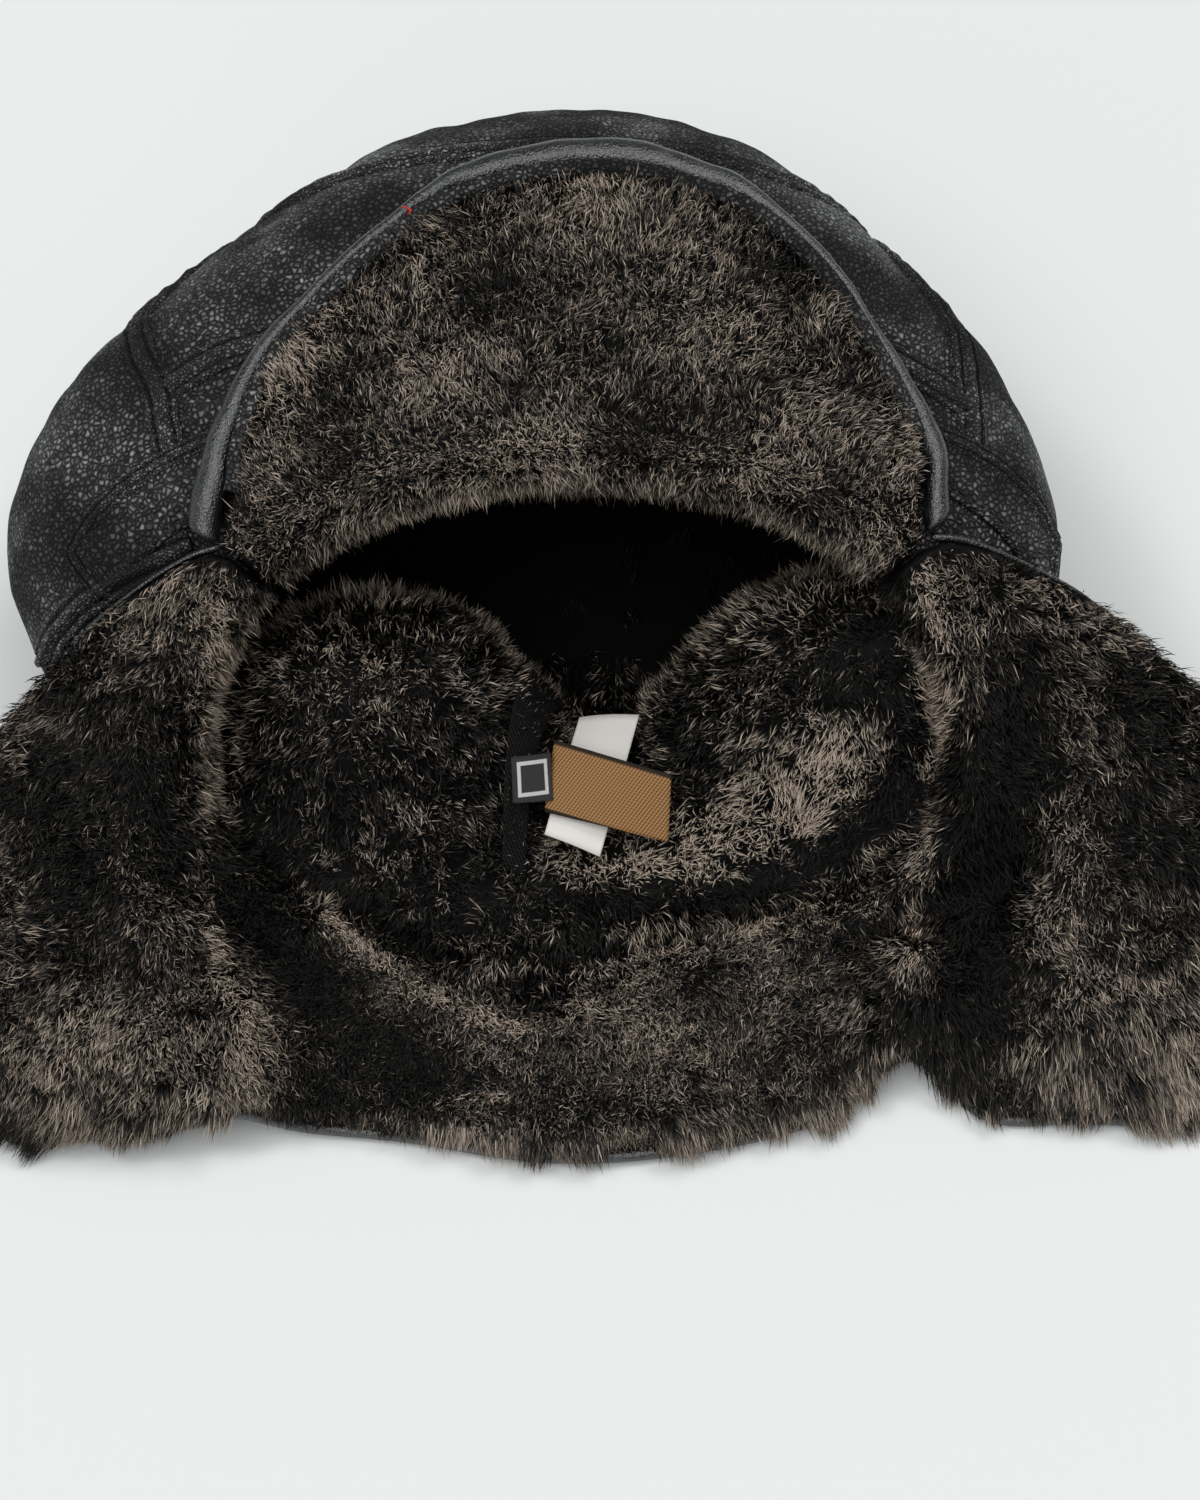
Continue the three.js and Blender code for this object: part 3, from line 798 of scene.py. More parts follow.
class Nodes:
    """Short-hand for building a node tree."""

    def __init__(self, tree: bpy.types.NodeTree) -> None:
        """Keeps the tree, and a material's shader inputs."""
        self.tree = tree
        shader = tree.nodes.get("Principled BSDF")
        self.shader = shader.inputs if shader else {}

    def feed(self, socket: Socket, value: object) -> None:
        """Links an output to a socket, or sets the socket to a plain value.

        Args:
            socket: Input to fill.
            value: Output of a node, or a number, colour or material.
        """
        if isinstance(value, Socket):
            self.tree.links.new(value, socket)
        else:
            socket.default_value = value

    def add(self, kind: str, **values: object) -> bpy.types.Node:
        """Adds a node.

        Args:
            kind: The node's type name.
            values: Settings of the node; a name that starts with in_ sets an input, with its
                number or its name with underscores for spaces.

        Returns:
            The new node.
        """
        node = self.tree.nodes.new(kind)
        for name, value in values.items():
            if name.startswith("in_"):
                key = name[3:]
                self.feed(node.inputs[int(key) if key.isdigit() else key.replace("_", " ")], value)
            else:
                setattr(node, name, value)
        return node

    def math(
        self, kind: str, a: object, b: object = 0.0, clamp: bool = False
    ) -> Socket:
        """Output of a math node of two values."""
        node = self.add("ShaderNodeMath", operation=kind, use_clamp=clamp, in_0=a, in_1=b)
        return node.outputs[0]

    def noise(self, place: object, scale: float, detail: float) -> bpy.types.Node:
        """A noise texture."""
        return self.add("ShaderNodeTexNoise", in_Vector=place, in_Scale=scale, in_Detail=detail)

    def split(self, vector: object) -> tuple[Socket, Socket]:
        """The first two numbers of a vector."""
        node = self.add("ShaderNodeSeparateXYZ", in_Vector=vector)
        return node.outputs["X"], node.outputs["Y"]

    def ramp(self, value: object, *stops: tuple[float, Triple]) -> Socket:
        """Colour output of a ramp.

        Args:
            value: Place on the ramp, from 0 to 1.
            stops: Place and colour of each stop.

        Returns:
            The colour.
        """
        node = self.add("ShaderNodeValToRGB", in_Fac=value)
        bar = node.color_ramp
        while len(bar.elements) < len(stops):
            bar.elements.new(0.5)
        for element, (place, colour) in zip(bar.elements, stops):
            element.position = place
            element.color = (*colour, 1.0)
        return node.outputs["Color"]

    def remap(self, value: object, low: object, high: object, to: Pair = (0.0, 1.0)) -> Socket:
        """A value brought smoothly from one range to another.

        Args:
            value: The value.
            low: Start of its range.
            high: End of its range.
            to: Start and end of the new range.

        Returns:
            The new value, held within the new range.
        """
        ends = {"in_From_Min": low, "in_From_Max": high, "in_To_Min": to[0], "in_To_Max": to[1]}
        node = self.add(
            "ShaderNodeMapRange", interpolation_type="SMOOTHSTEP", in_Value=value, **ends
        )
        return node.outputs["Result"]

    def blend(self, mask: object, a: object, b: object) -> Socket:
        """A blend of two colours.

        Args:
            mask: Share of the second colour.
            a: First colour, three numbers or an output.
            b: Second colour, in the same way.

        Returns:
            The colour.
        """
        node = self.add("ShaderNodeMix", data_type="RGBA", in_0=mask)
        for index, value in ((6, a), (7, b)):
            plain = not isinstance(value, Socket)
            self.feed(node.inputs[index], (*value, 1.0) if plain else value)
        return node.outputs[2]


def start_group(
    name: str, inputs: dict[str, object], outputs: tuple[str, ...], kind: str = "Float"
) -> tuple[Nodes, Sockets, Sockets]:
    """Starts a shader node group with named sockets.

    Args:
        name: Name of the group.
        inputs: Default value by name: a number, a colour, or None for a vector.
        outputs: Names of the outputs.
        kind: Kind of the outputs, Float or Color.

    Returns:
        The node helper, what the group is given and what it puts out.
    """
    tree = bpy.data.node_groups.new(name, "ShaderNodeTree")
    for key, value in inputs.items():
        sort = "Vector" if value is None else "Float" if isinstance(value, float) else "Color"
        socket = tree.interface.new_socket(key, in_out="INPUT", socket_type="NodeSocket" + sort)
        if value is not None:
            socket.default_value = value
    for key in outputs:
        tree.interface.new_socket(key, in_out="OUTPUT", socket_type="NodeSocket" + kind)
    nodes = Nodes(tree)
    return nodes, nodes.add("NodeGroupInput").outputs, nodes.add("NodeGroupOutput").inputs


def place_group(n: Nodes, name: str, make: Callable[[], Nodes], **values: object) -> Sockets:
    """Places a shared node group in a material and builds it the first time.

    Args:
        n: The material's nodes.
        name: Name of the group.
        make: Builds the group.
        values: What goes into its inputs, by name.

    Returns:
        The group's outputs.
    """
    group = n.add("ShaderNodeGroup")
    group.node_tree = bpy.data.node_groups.get(name) or make().tree
    for key, value in values.items():
        n.feed(group.inputs[key], value)
    return group.outputs


def make_grain() -> Nodes:
    """Pebble grain of leather: raised cells with fine creases between them.

    Returns:
        The group's nodes; its outputs are Height, Crease, Patch and Glint.
    """
    inputs = {"Vector": None, "Cell": 0.0014, "Crease": 0.2}
    n, given, out = start_group("leather_grain", inputs, ("Height", "Crease", "Patch", "Glint"))
    scale = n.math("DIVIDE", 1.0, given["Cell"])
    warp = n.noise(given["Vector"], 420.0, 2.0).outputs["Color"]
    push = n.add("ShaderNodeVectorMath", operation="SCALE", in_0=warp, in_Scale=0.0006)
    moved = n.add(
        "ShaderNodeVectorMath", operation="ADD", in_0=given["Vector"], in_1=push.outputs[0]
    )
    edge, cell, lot = (
        n.add("ShaderNodeTexVoronoi", feature=kind, in_Vector=moved.outputs[0], in_Scale=scale)
        for kind in ("DISTANCE_TO_EDGE", "SMOOTH_F1", "F1")
    )
    crease = n.remap(edge.outputs["Distance"], 0.0, given["Crease"])
    dome = n.remap(cell.outputs["Distance"], 0.0, 0.75, (1.0, 0.0))
    fine = n.noise(given["Vector"], 2600.0, 3.0).outputs["Fac"]
    height = n.math("MULTIPLY", crease, n.math("ADD", 0.55, n.math("MULTIPLY", dome, 0.45)))
    height = n.math("ADD", height, n.math("MULTIPLY", fine, 0.18))
    patch = n.noise(given["Vector"], 30.0, 3.0).outputs["Fac"]
    draw, _ = n.split(lot.outputs["Color"])
    # Glint: the raised cells that get a painted glint, each with a random strength.
    glint = n.math("MULTIPLY", crease, n.math("ADD", 0.12, n.math("POWER", draw, 1.8)))
    for name, value in zip(("Height", "Crease", "Patch", "Glint"), (height, crease, patch, glint)):
        n.feed(out[name], value)
    return n


def make_strand() -> Nodes:
    """Colour of the wool from the strand's own map: tone across, which holds painted light and
    shade, and root to tip upwards.

    Returns:
        The group's nodes; its output is Color.
    """
    inputs = {
        "Strand": None,
        "Root": (0.0035, 0.0033, 0.0031, 1),
        "Middle": (0.0105, 0.0101, 0.0094, 1),
        "Tip": (0.52, 0.43, 0.345, 1),
    }
    n, given, out = start_group("wool_strand", inputs, ("Color",), "Color")
    tone, way = n.split(given["Strand"])
    low = n.remap(way, 0.1, 0.6)
    reach = n.math("SUBTRACT", way, n.math("MULTIPLY", n.math("SUBTRACT", 0.5, tone), 0.55))
    high = n.remap(reach, 0.6, 1.0)
    strong = n.math("MULTIPLY", high, n.math("POWER", tone, 1.45), clamp=True)
    body = n.blend(low, given["Root"], given["Middle"])
    n.feed(out["Color"], n.blend(strong, body, given["Tip"]))
    return n


def make_weave() -> Nodes:
    """Twill threads of a woven piece, along and across its own map.

    Returns:
        The group's nodes; its outputs are Weave, Along and Side. Side is the distance from the
        middle line.
    """
    inputs = {"Card": None, "Long": 60.0, "Short": 40.0, "Twill": 1.0}
    n, given, out = start_group("thread_weave", inputs, ("Weave", "Along", "Side"))
    along, across = n.split(given["Card"])
    slant = n.math("MULTIPLY", across, n.math("MULTIPLY", given["Short"], given["Twill"]))
    lines = n.math("ADD", n.math("MULTIPLY", along, given["Long"]), slant)
    rib = n.math("SINE", n.math("MULTIPLY", lines, 2 * math.pi))
    rib = n.math("ADD", 0.5, n.math("MULTIPLY", rib, 0.36))
    rows = n.math("MULTIPLY", given["Short"], 4 * math.pi)
    rows = n.math("SINE", n.math("MULTIPLY", across, rows))
    weave = n.math("ADD", rib, n.math("MULTIPLY", rows, 0.14), clamp=True)
    side = n.math("ABSOLUTE", n.math("SUBTRACT", across, 0.5))
    for name, value in zip(("Weave", "Along", "Side"), (weave, along, side)):
        n.feed(out[name], value)
    return n


def make_twist() -> Nodes:
    """Twist of a thread.

    Returns:
        The group's nodes; its output is Twist.
    """
    n, given, out = start_group("thread_twist", {"Vector": None}, ("Twist",))
    wave = n.add("ShaderNodeTexWave", in_Vector=given["Vector"], in_Scale=900.0, in_Distortion=1.5)
    n.feed(out["Twist"], wave.outputs["Fac"])
    return n


@dataclass(frozen=True)
class Finish:
    """One material; sub-classes paint their own nodes."""

    name: str
    roughness: float = 0.5
    specular: float = 0.5

    def material(self) -> bpy.types.Material:
        """The material, made when it is first asked for.

        Returns:
            The material.
        """
        found = bpy.data.materials.get(self.name)
        if found is not None:
            return found
        made = bpy.data.materials.new(self.name)
        made.use_nodes = True
        n = Nodes(made.node_tree)
        n.feed(n.shader["Roughness"], self.roughness)
        n.feed(n.shader["Specular IOR Level"], self.specular)
        self.paint(n)
        return made

    def paint(self, n: Nodes) -> None:
        """Adds the finish's own nodes.

        Args:
            n: The material's nodes.
        """

    @staticmethod
    def place(n: Nodes) -> Socket:
        """Object coordinates."""
        return n.add("ShaderNodeTexCoord").outputs["Object"]

    @staticmethod
    def bump(n: Nodes, height: object, distance: float) -> None:
        """Feeds a height to the shader's normal.

        Args:
            n: The material's nodes.
            height: Socket with the height from 0 to 1.
            distance: Depth of the relief in metres.
        """
        bump = n.add("ShaderNodeBump", in_Strength=1.0, in_Distance=distance, in_Height=height)
        n.feed(n.shader["Normal"], bump.outputs["Normal"])


@dataclass(frozen=True)
class PebbledLeather(Finish):
    """Dull black leather with pebble grain, painted glints on its raised cells and painted shade in
    its creases.
    """

    colour: Triple = (0.021, 0.0215, 0.022)
    # Painted shade in the creases between the cells.
    dark: Triple = (0.003, 0.003, 0.0032)
    # Colour of the painted glints on raised cells in patches.
    wear_and_glint: Triple = (0.3, 0.303, 0.31)
    # Painted shade in the grooves beside a seam, and where those grooves lie across the seam strip.
    groove: Triple = (0.0012, 0.0012, 0.0012)
    grooves: tuple[tuple[float, ...], ...] = ()
    cell: float = 0.00155
    crease: float = 0.3
    relief: float = 0.0011
    smooth: float = 0.3
    rough: float = 0.85

    def paint(self, n: Nodes) -> None:
        """Adds grain, painted shade in the creases, painted glints on raised cells in patches,
        uneven gloss and, on a seam, painted shade in the grooves beside it.

        Args:
            n: The material's nodes.
        """
        grain = place_group(
            n, "leather_grain", make_grain, Vector=self.place(n), Cell=self.cell,
            Crease=self.crease,
        )
        # Painted glints: lighter raised cells in patches.
        patch = n.remap(grain["Patch"], 0.4, 0.68, (0.12, 1.0))
        top = n.math("MULTIPLY", grain["Glint"], patch)
        # Painted shade in the creases.
        colour = n.blend(grain["Crease"], self.dark, self.colour)
        colour = n.blend(top, colour, self.wear_and_glint)
        # Painted shade in the grooves beside a seam.
        if self.grooves:
            side, _ = n.split(n.add("ShaderNodeUVMap", uv_map="card").outputs["UV"])
            levels = ((0.0,) * 3, (1.0,) * 3, (1.0,) * 3, (0.0,) * 3)
            stops = [stop for groove in self.grooves for stop in zip(groove, levels)]
            colour = n.blend(n.ramp(side, *stops), colour, self.groove)
        n.feed(n.shader["Base Color"], colour)
        gloss = n.remap(grain["Patch"], 0.38, 0.62, (self.rough, self.smooth))
        valley = n.math("MULTIPLY", n.math("SUBTRACT", 1.0, grain["Crease"]), 0.25)
        n.feed(n.shader["Roughness"], n.math("ADD", gloss, valley, clamp=True))
        self.bump(n, grain["Height"], self.relief)


@dataclass(frozen=True)
class SmoothLeather(Finish):
    """Smooth piping leather with faint creases across it."""

    colour: Triple = (0.005, 0.0056, 0.0066)
    # Colour of the lighter rubbed places.
    wear_and_glint: Triple = (0.022, 0.0245, 0.028)
    relief: float = 0.0006
    glossier: float = 0.07
    duller: float = 0.1

    def paint(self, n: Nodes) -> None:
        """Adds fine grain, creases and lighter rubbed places.

        Args:
            n: The material's nodes.
        """
        place = self.place(n)
        soft = n.noise(place, 170.0, 4.0).outputs["Fac"]
        fine = n.noise(place, 1500.0, 3.0).outputs["Fac"]
        rubbed = n.remap(soft, 0.45, 0.75)
        n.feed(n.shader["Base Color"], n.blend(rubbed, self.colour, self.wear_and_glint))
        ends = (self.roughness - self.glossier, self.roughness + self.duller)
        n.feed(n.shader["Roughness"], n.remap(soft, 0.3, 0.7, ends))
        creases, grain = n.math("MULTIPLY", soft, 0.5), n.math("MULTIPLY", fine, 0.6)
        self.bump(n, n.math("ADD", creases, grain), self.relief)


@dataclass(frozen=True)
class WoolPile(Finish):
    """Clipped wool: near black at the root, taupe at the tip."""

    def paint(self, n: Nodes) -> None:
        """Reads the strand map into the colour.

        Args:
            n: The material's nodes.
        """
        strand = n.add("ShaderNodeUVMap", uv_map="OFBake").outputs["UV"]
        wool = place_group(n, "wool_strand", make_strand, Strand=strand)
        n.feed(n.shader["Base Color"], wool["Color"])


@dataclass(frozen=True)
class Woven(Finish):
    """Woven ribbon or tape with fine threads along the piece's own map, and plain borders."""

    colour: Triple = (0.46, 0.25, 0.105)
    second: Triple = (0.13, 0.065, 0.026)
    border: Triple = (0.03, 0.02, 0.014)
    border_wide: float = 0.0
    frame: float = 0.0
    frame_wide: Pair = (0.035, 0.05)
    threads: Pair = (60.0, 40.0)
    twill: float = 1.0
    relief: float = 0.00012

    def paint(self, n: Nodes) -> None:
        """Adds the weave, its borders and its relief.

        Args:
            n: The material's nodes.
        """
        cloth = place_group(
            n, "thread_weave", make_weave,
            Card=n.add("ShaderNodeUVMap", uv_map="card").outputs["UV"], Long=self.threads[0],
            Short=self.threads[1], Twill=self.twill,
        )
        colour = n.blend(cloth["Weave"], self.second, self.colour)
        if self.border_wide:
            start, end = 0.5 - self.border_wide, 0.5 - self.border_wide * 0.6
            mask = n.remap(cloth["Side"], start, end)
            colour = n.blend(mask, colour, self.border)
        if self.frame:
            near, far = self.frame_wide
            end = n.math("ABSOLUTE", n.math("SUBTRACT", cloth["Along"], 0.5))
            reach = n.math("MAXIMUM", end, cloth["Side"])
            outer = n.remap(reach, self.frame + near, self.frame + far, (1.0, 0.0))
            inner = n.remap(reach, self.frame - far, self.frame - near)
            colour = n.blend(n.math("MULTIPLY", outer, inner), colour, self.border)
        n.feed(n.shader["Base Color"], colour)
        self.bump(n, cloth["Weave"], self.relief)


@dataclass(frozen=True)
class Thread(Finish):
    """Twisted thread."""

    colour: Triple = (0.02, 0.02, 0.022)
    shadow: float = 0.45
    relief: float = 0.00008

    def paint(self, n: Nodes) -> None:
        """Adds the twist.

        Args:
            n: The material's nodes.
        """
        group = place_group(n, "thread_twist", make_twist, Vector=self.place(n))
        dark = tuple(c * self.shadow for c in self.colour)
        n.feed(n.shader["Base Color"], n.blend(group["Twist"], dark, self.colour))
        self.bump(n, group["Twist"], self.relief)


@dataclass(frozen=True)
class PaleFloor(Finish):
    """Plain pale studio surface."""

    colour: Triple = (0.8, 0.82, 0.815)

    def paint(self, n: Nodes) -> None:
        """Sets the plain colour."""
        n.feed(n.shader["Base Color"], (*self.colour, 1.0))


CROWN_FINISH = PebbledLeather("crown_leather_pebbled", specular=0.3)
# Seam strips, with painted shade in the grooves beside the raised lap.
SEAM_FINISH = PebbledLeather(
    "crown_leather_seam", specular=0.3, cell=0.0011, relief=0.0007,
    grooves=((0.145, 0.2, 0.26, 0.315), (0.61, 0.662, 0.722, 0.78)),
)
EDGE_FINISH = SmoothLeather("edge_leather_smooth", roughness=0.26, specular=1.0)
WOOL_FINISH = WoolPile("wool_pile", roughness=0.6, specular=0.1)
THREAD_FINISH = Thread("seam_thread", roughness=0.45)
RED_FINISH = Thread("red_thread", roughness=0.5, colour=(0.75, 0.03, 0.02))
FLOOR_FINISH = PaleFloor("pale_floor", roughness=0.7, specular=0.2)
TAPE_FINISH = Woven(
    "seam_tape_woven", roughness=0.9, specular=0.12, colour=(0.016, 0.016, 0.0165),
    second=(0.002, 0.002, 0.002), threads=(9.0, 30.0), relief=0.0004,
)
BROWN_FINISH = Woven(
    "brown_twill", roughness=0.85, specular=0.2, border_wide=0.075, threads=(36.0, 12.0),
    relief=0.00025,
)
DARK_FINISH = Woven(
    "dark_satin", roughness=0.6, colour=(0.035, 0.035, 0.037), second=(0.02, 0.02, 0.021),
    border=(0.72, 0.72, 0.7), frame=0.34, threads=(40.0, 30.0),
)
WHITE_FINISH = Woven(
    "white_satin", roughness=0.5, colour=(0.83, 0.81, 0.77), second=(0.74, 0.72, 0.68),
    threads=(90.0, 120.0), twill=0.2, relief=0.00004,
)


def dress(obj: bpy.types.Object, finish: Finish, slot: Slot, *nodes: str) -> None:
    """Gives a piece its finish and its place in the frame.

    Args:
        obj: The piece.
        finish: Its finish.
        slot: Its slot in the record; not used.
        nodes: The nodes that it stands for.
    """
    if not obj.data.materials:
        obj.data.materials.append(finish.material())
    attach(obj, "root")
    if nodes:
        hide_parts(*nodes)
    LOG.info("%s: %d faces", obj.name, len(obj.data.polygons))


# ---------------------------------------------------------------- wool


@dataclass(frozen=True)
class PaintedSpot:
    """A soft oval of painted light on the wool, seen in plan, in millimetres; painted shade where
    it makes the wool darker.

    It has its centre, its radius along x and y, and how much lighter it is.
    """

    x: float
    y: float
    wide: float
    deep: float
    more: float

    def tone(self, p: Array) -> Array:
        """Change of tone at points, as painted light and shade."""
        across, along = (p[:, 0] - self.x) / self.wide, (p[:, 1] - self.y) / self.deep
        return self.more * np.exp(-(across**2) - along**2)


@dataclass(frozen=True)
class PaintedStroke:
    """A line of painted light along a ridge, painted shade along a furrow where it makes the wool
    darker: how much lighter it is, its width and its course.
    """

    more: float
    wide: float
    line: tuple[Pair, ...]

    def tone(self, p: Array) -> Array:
        """Change of tone at points, as painted light and shade.

        Args:
            p: The points.

        Returns:
            One value per point.
        """
        gap = np.full(len(p), FAR)
        knots = np.array(self.line, float)
        for a, b in zip(knots[:-1], knots[1:]):
            way = b - a
            t = np.clip((p[:, :2] - a) @ way / (way @ way), 0, 1)
            gap = np.minimum(gap, ((p[:, :2] - a - t[:, None] * way) ** 2).sum(-1))
        return self.more * np.exp(-gap / self.wide**2)


@dataclass(frozen=True)
class Depth:
    """The painted shade at the deep end of the hollow: how much lighter it is, where it starts and
    how fast.
    """

    more: float
    start: float
    over: float

    def tone(self, p: Array) -> Array:
        """Change of tone at points, as painted shade."""
        return self.more * np.clip((p[:, 1] - self.start) / self.over, 0, 1)


# Painted light and shade laid into the tone of the wool.
PaintedLight = PaintedSpot | PaintedStroke | Depth
# Painted shade along the furrows and creases of the folds, and painted light along their ridges.
FOLD_PAINTED_LIGHT = (
    PaintedStroke(-0.75, 4.2, ((-6, 64), (32, 63), (49, 65), (63, 69), (79, 74), (93, 76))),
    PaintedStroke(-0.6, 4.5, ((-90, 80), (-77, 68), (-64, 58), (-48, 47), (-34, 41))),
    PaintedStroke(-0.45, 11.0, ((-87, 56), (-74, 38), (-58, 22), (-38, 14))),
    PaintedStroke(-0.5, 7.0, ((114, 92), (109, 66), (110, 51), (106, 24))),
    PaintedStroke(0.45, 2.2, ((-89, 84), (-66, 51), (-47, 36), (-28, 25), (-13, 21))),
    PaintedStroke(0.35, 2.4, ((-6, 39), (11, 42), (32, 45), (53, 52), (74, 64), (92, 74))),
    PaintedStroke(0.4, 2.4, ((-89, 107), (-94, 84), (-98, 56), (-93, 30), (-86, 18), (-88, 4))),
    PaintedStroke(0.5, 2.4, ((87, 108), (93, 85), (92, 71), (87, 51), (86, 30))),
    PaintedStroke(-0.6, 4.2, ((78, 112), (83, 96), (84, 84), (82, 76))),
    PaintedStroke(1.5, 7.0, ((0, 78), (27, 75), (43, 74), (57, 77), (66, 81))),
)


@dataclass(frozen=True)
class Habit:
    """How all the wool grows: lengths in millimetres, the rest in shares and tones.

    A tuft leans with a swirl and a stray turn of its own, its patches are lighter and darker, and
    its rows rise and sink, with painted light on their crests and painted shade in their troughs. A
    strand bends at its knee.
    """

    quick_share: float = 0.2
    swirl_length: float = 26.0
    swirl: float = 0.6
    stray: float = 0.45
    lift_spread: float = 0.6
    clump_length: float = 13.0
    clump: Pair = (0.8, 0.4)
    clump_limits: Pair = (0.2, 1.5)
    hang: float = 0.45
    bare_x: Pair = (-92.0, -58.0)
    bare_y: float = 8.0
    bare_share: float = 0.35
    patch_length: float = 34.0
    bend_light_limits: Pair = (-0.4, 0.26)
    row_way: Pair = (0.9, 0.45)
    row_step: float = 8.5
    row_length: float = 38.0
    row_stray: float = 0.45
    row_lift: float = 4.0
    tuft_tone: float = 0.13
    strand_tone: float = 0.19
    tone_limits: Pair = (0.02, 0.98)
    step_limit: float = 12.0
    overhang: float = 0.8
    rise_spread: float = 0.7
    root_spread: Pair = (-0.4, 0.6)
    deepest_tip: float = 2.5
    knee: float = 0.6
    knee_rise: float = 0.9
    knee_back: float = 0.12
    width_spread: Pair = (0.6, 1.3)
    above_floor: float = 0.25
    normal_mix: Pair = (0.85, 0.5)
    normal_spread: float = 0.18
    fan_height: Pair = (140.0, 60.0)


HABIT = Habit()
STRAND_CORNERS = np.array([[0, 1, 2], [1, 3, 2]])
STRAND_LEVEL = np.array([0.02, 0.6, 0.6, 0.98])
STRAND_NUDGE = np.array([0.0, -0.004, 0.004, 0.0])
BACKING_UV = np.array([[0.5, 0.03], [0.51, 0.03], [0.505, 0.04]])


@dataclass
class Tufts:
    """The tufts of a pelt, one row of each array per tuft."""

    i: Array
    j: Array
    du: Array
    dv: Array
    e1: Array
    e2: Array
    lean: Array
    lift: Array
    tone: Array


@dataclass
class Pelt:
    """Clipped wool on a skin: a dark backing with tufts of strands fused to it."""

    name: str
    skin: Skin
    u: Pair
    strands: int
    seed: int
    cells: Cells = (180, 60)
    fine: Cells = (420, 160)
    tuft: int = 26
    spread: float = 2.3
    gather: float = 0.55
    lean: Triple = (0.0, 0.0, 0.0)
    fan: Pair = (0.0, 0.0)
    ruffle: float = 1.15
    wild: float = 0.85
    rise: float = 0.3
    half_width: float = 0.18
    root_depth: float = 6.2
    ground: float = 5.2
    ground_wave: float = 0.35
    edge_round: float = 0.0
    round_from: float = 0.86
    round_over: float = 0.14
    tone: float = 0.5
    tone_patch: float = 0.09
    # Painted light on ridges and painted shade in valleys, for each unit of bend.
    bend_light: float = 2.4
    bend_step: float = 4.0
    edge_lean: float = 0.0
    edge_from: float = 0.8
    inset: Triple = (0.0, 0.0, 0.0)
    wrap: bool = False
    weight: Callable[[Array, Array], Array] | None = None
    painted_light: tuple[PaintedLight, ...] = ()
    # Painted light and shade along the rows of tufts, and how far the rows rise and sink.
    bands: float = 0.06

    def sample(self) -> None:
        """Measures fine grids of points, normals, tangents, room and bend of the wool."""
        nu, nv = self.fine
        a, b = cross_grid(np.linspace(*self.u, nu + 1), np.linspace(0, 1, nv + 1))
        self.up_grid = -self.skin.layer_normal(a, b)
        self.top_grid = self.skin.point(a, b) - self.up_grid * self.edge_drop(b)[..., None]
        self.du_grid = np.gradient(self.top_grid, axis=0)
        self.dv_grid = np.gradient(self.top_grid, axis=1)
        self.keep = np.ones((nu, nv)) if self.weight is None else self.weight(a, b)[:-1, :-1]
        across, down = (np.linalg.norm(g, axis=-1) for g in (self.du_grid, self.dv_grid))
        left, out = np.cumsum(across, axis=0), np.cumsum(down[:, ::-1], axis=1)[:, ::-1]
        edge, low, high = self.inset
        room = out - edge
        if not self.wrap:
            room = np.minimum(room, np.minimum(left - low, left[-1:] - left - high))
        self.room_grid = room[..., None]
        self.keep = self.keep * (room[:-1, :-1] > 0)
        self.bend_grid = self.bend(across.mean(), down.mean())[..., None]

    def bend(self, across: float, down: float) -> Array:
        """How strongly the wool surface bulges at each grid point, in 1/mm.

        Args:
            across: Mean length of a cell along the first direction.
            down: Mean length of a cell along the second direction.

        Returns:
            Positive values on ridges and negative ones in valleys.
        """
        up, total = unit(self.up_grid), 0.0
        for axis, size, cells in zip((0, 1), (across, down), self.fine):
            step = max(int(round(self.bend_step / size)), 1)
            place = np.arange(cells + 1)
            if axis == 0 and self.wrap:
                ahead, behind = (place + step) % cells, (place - step) % cells
            else:
                ahead, behind = np.minimum(place + step, cells), np.maximum(place - step, 0)
            way = self.top_grid.take(ahead, axis) - self.top_grid.take(behind, axis)
            turn = up.take(ahead, axis) - up.take(behind, axis)
            total = total + (way * turn).sum(-1) / np.maximum((way * way).sum(-1), 9.0)
        return total

    def edge_drop(self, v: Array) -> Array:
        """How far the wool surface drops towards a free edge, in a quarter round."""
        q = np.clip((v - self.round_from) / self.round_over, 0, 1)
        return self.edge_round * (1 - np.sqrt(1 - q * q))

    def scatter(self, count: int, rng: np.random.Generator) -> tuple[Array, Array]:
        """Evenly spread places on the surface, by area.

        The cells are taken in an order that keeps neighbours together, so that places drawn at
        even steps of the area cover the surface evenly.

        Args:
            count: Number of places.
            rng: Source of the random draws.

        Returns:
            Fractional places in the fine grids.
        """
        nu, nv = self.fine
        g = self.top_grid
        area = np.linalg.norm(np.cross(g[1:, :-1] - g[:-1, :-1], g[:-1, 1:] - g[:-1, :-1]), axis=-1)
        area = area * self.keep
        i, j = np.meshgrid(np.arange(nu), np.arange(nv), indexing="ij")
        code = np.zeros(i.shape, np.int64)
        for bit in range(10):
            code |= ((i >> bit) & 1) << (2 * bit + 1) | ((j >> bit) & 1) << (2 * bit)
        order = np.argsort(code.ravel())
        total = np.cumsum(area.ravel()[order])
        mark = (np.arange(count) + rng.random(count)) / count * total[-1]
        cell = order[np.minimum(np.searchsorted(total, mark), len(order) - 1)]
        return cell // nv + rng.random(count), cell % nv + rng.random(count)

    def edge_way(self, j: Array, top: Array) -> Array:
        """How far tufts lean out over the free edge.

        Args:
            j: Fractional places along the second direction.
            top: Points of the tufts.

        Returns:
            Millimetres, one value per tuft.
        """
        share = (j / self.fine[1] - self.edge_from) / (1 - self.edge_from)
        lean = np.clip(share, 0, 1) * self.edge_lean
        x, (low, high) = top[:, 0], HABIT.bare_x
        bare = (x > low) & (x < high) & (top[:, 1] < HABIT.bare_y)
        mean, swing = HABIT.clump
        clumps = mean + swing * Waves(HABIT.clump_length, self.seed + 6).at(top)
        return np.where(bare, HABIT.bare_share, 1.0) * lean * np.clip(clumps, *HABIT.clump_limits)

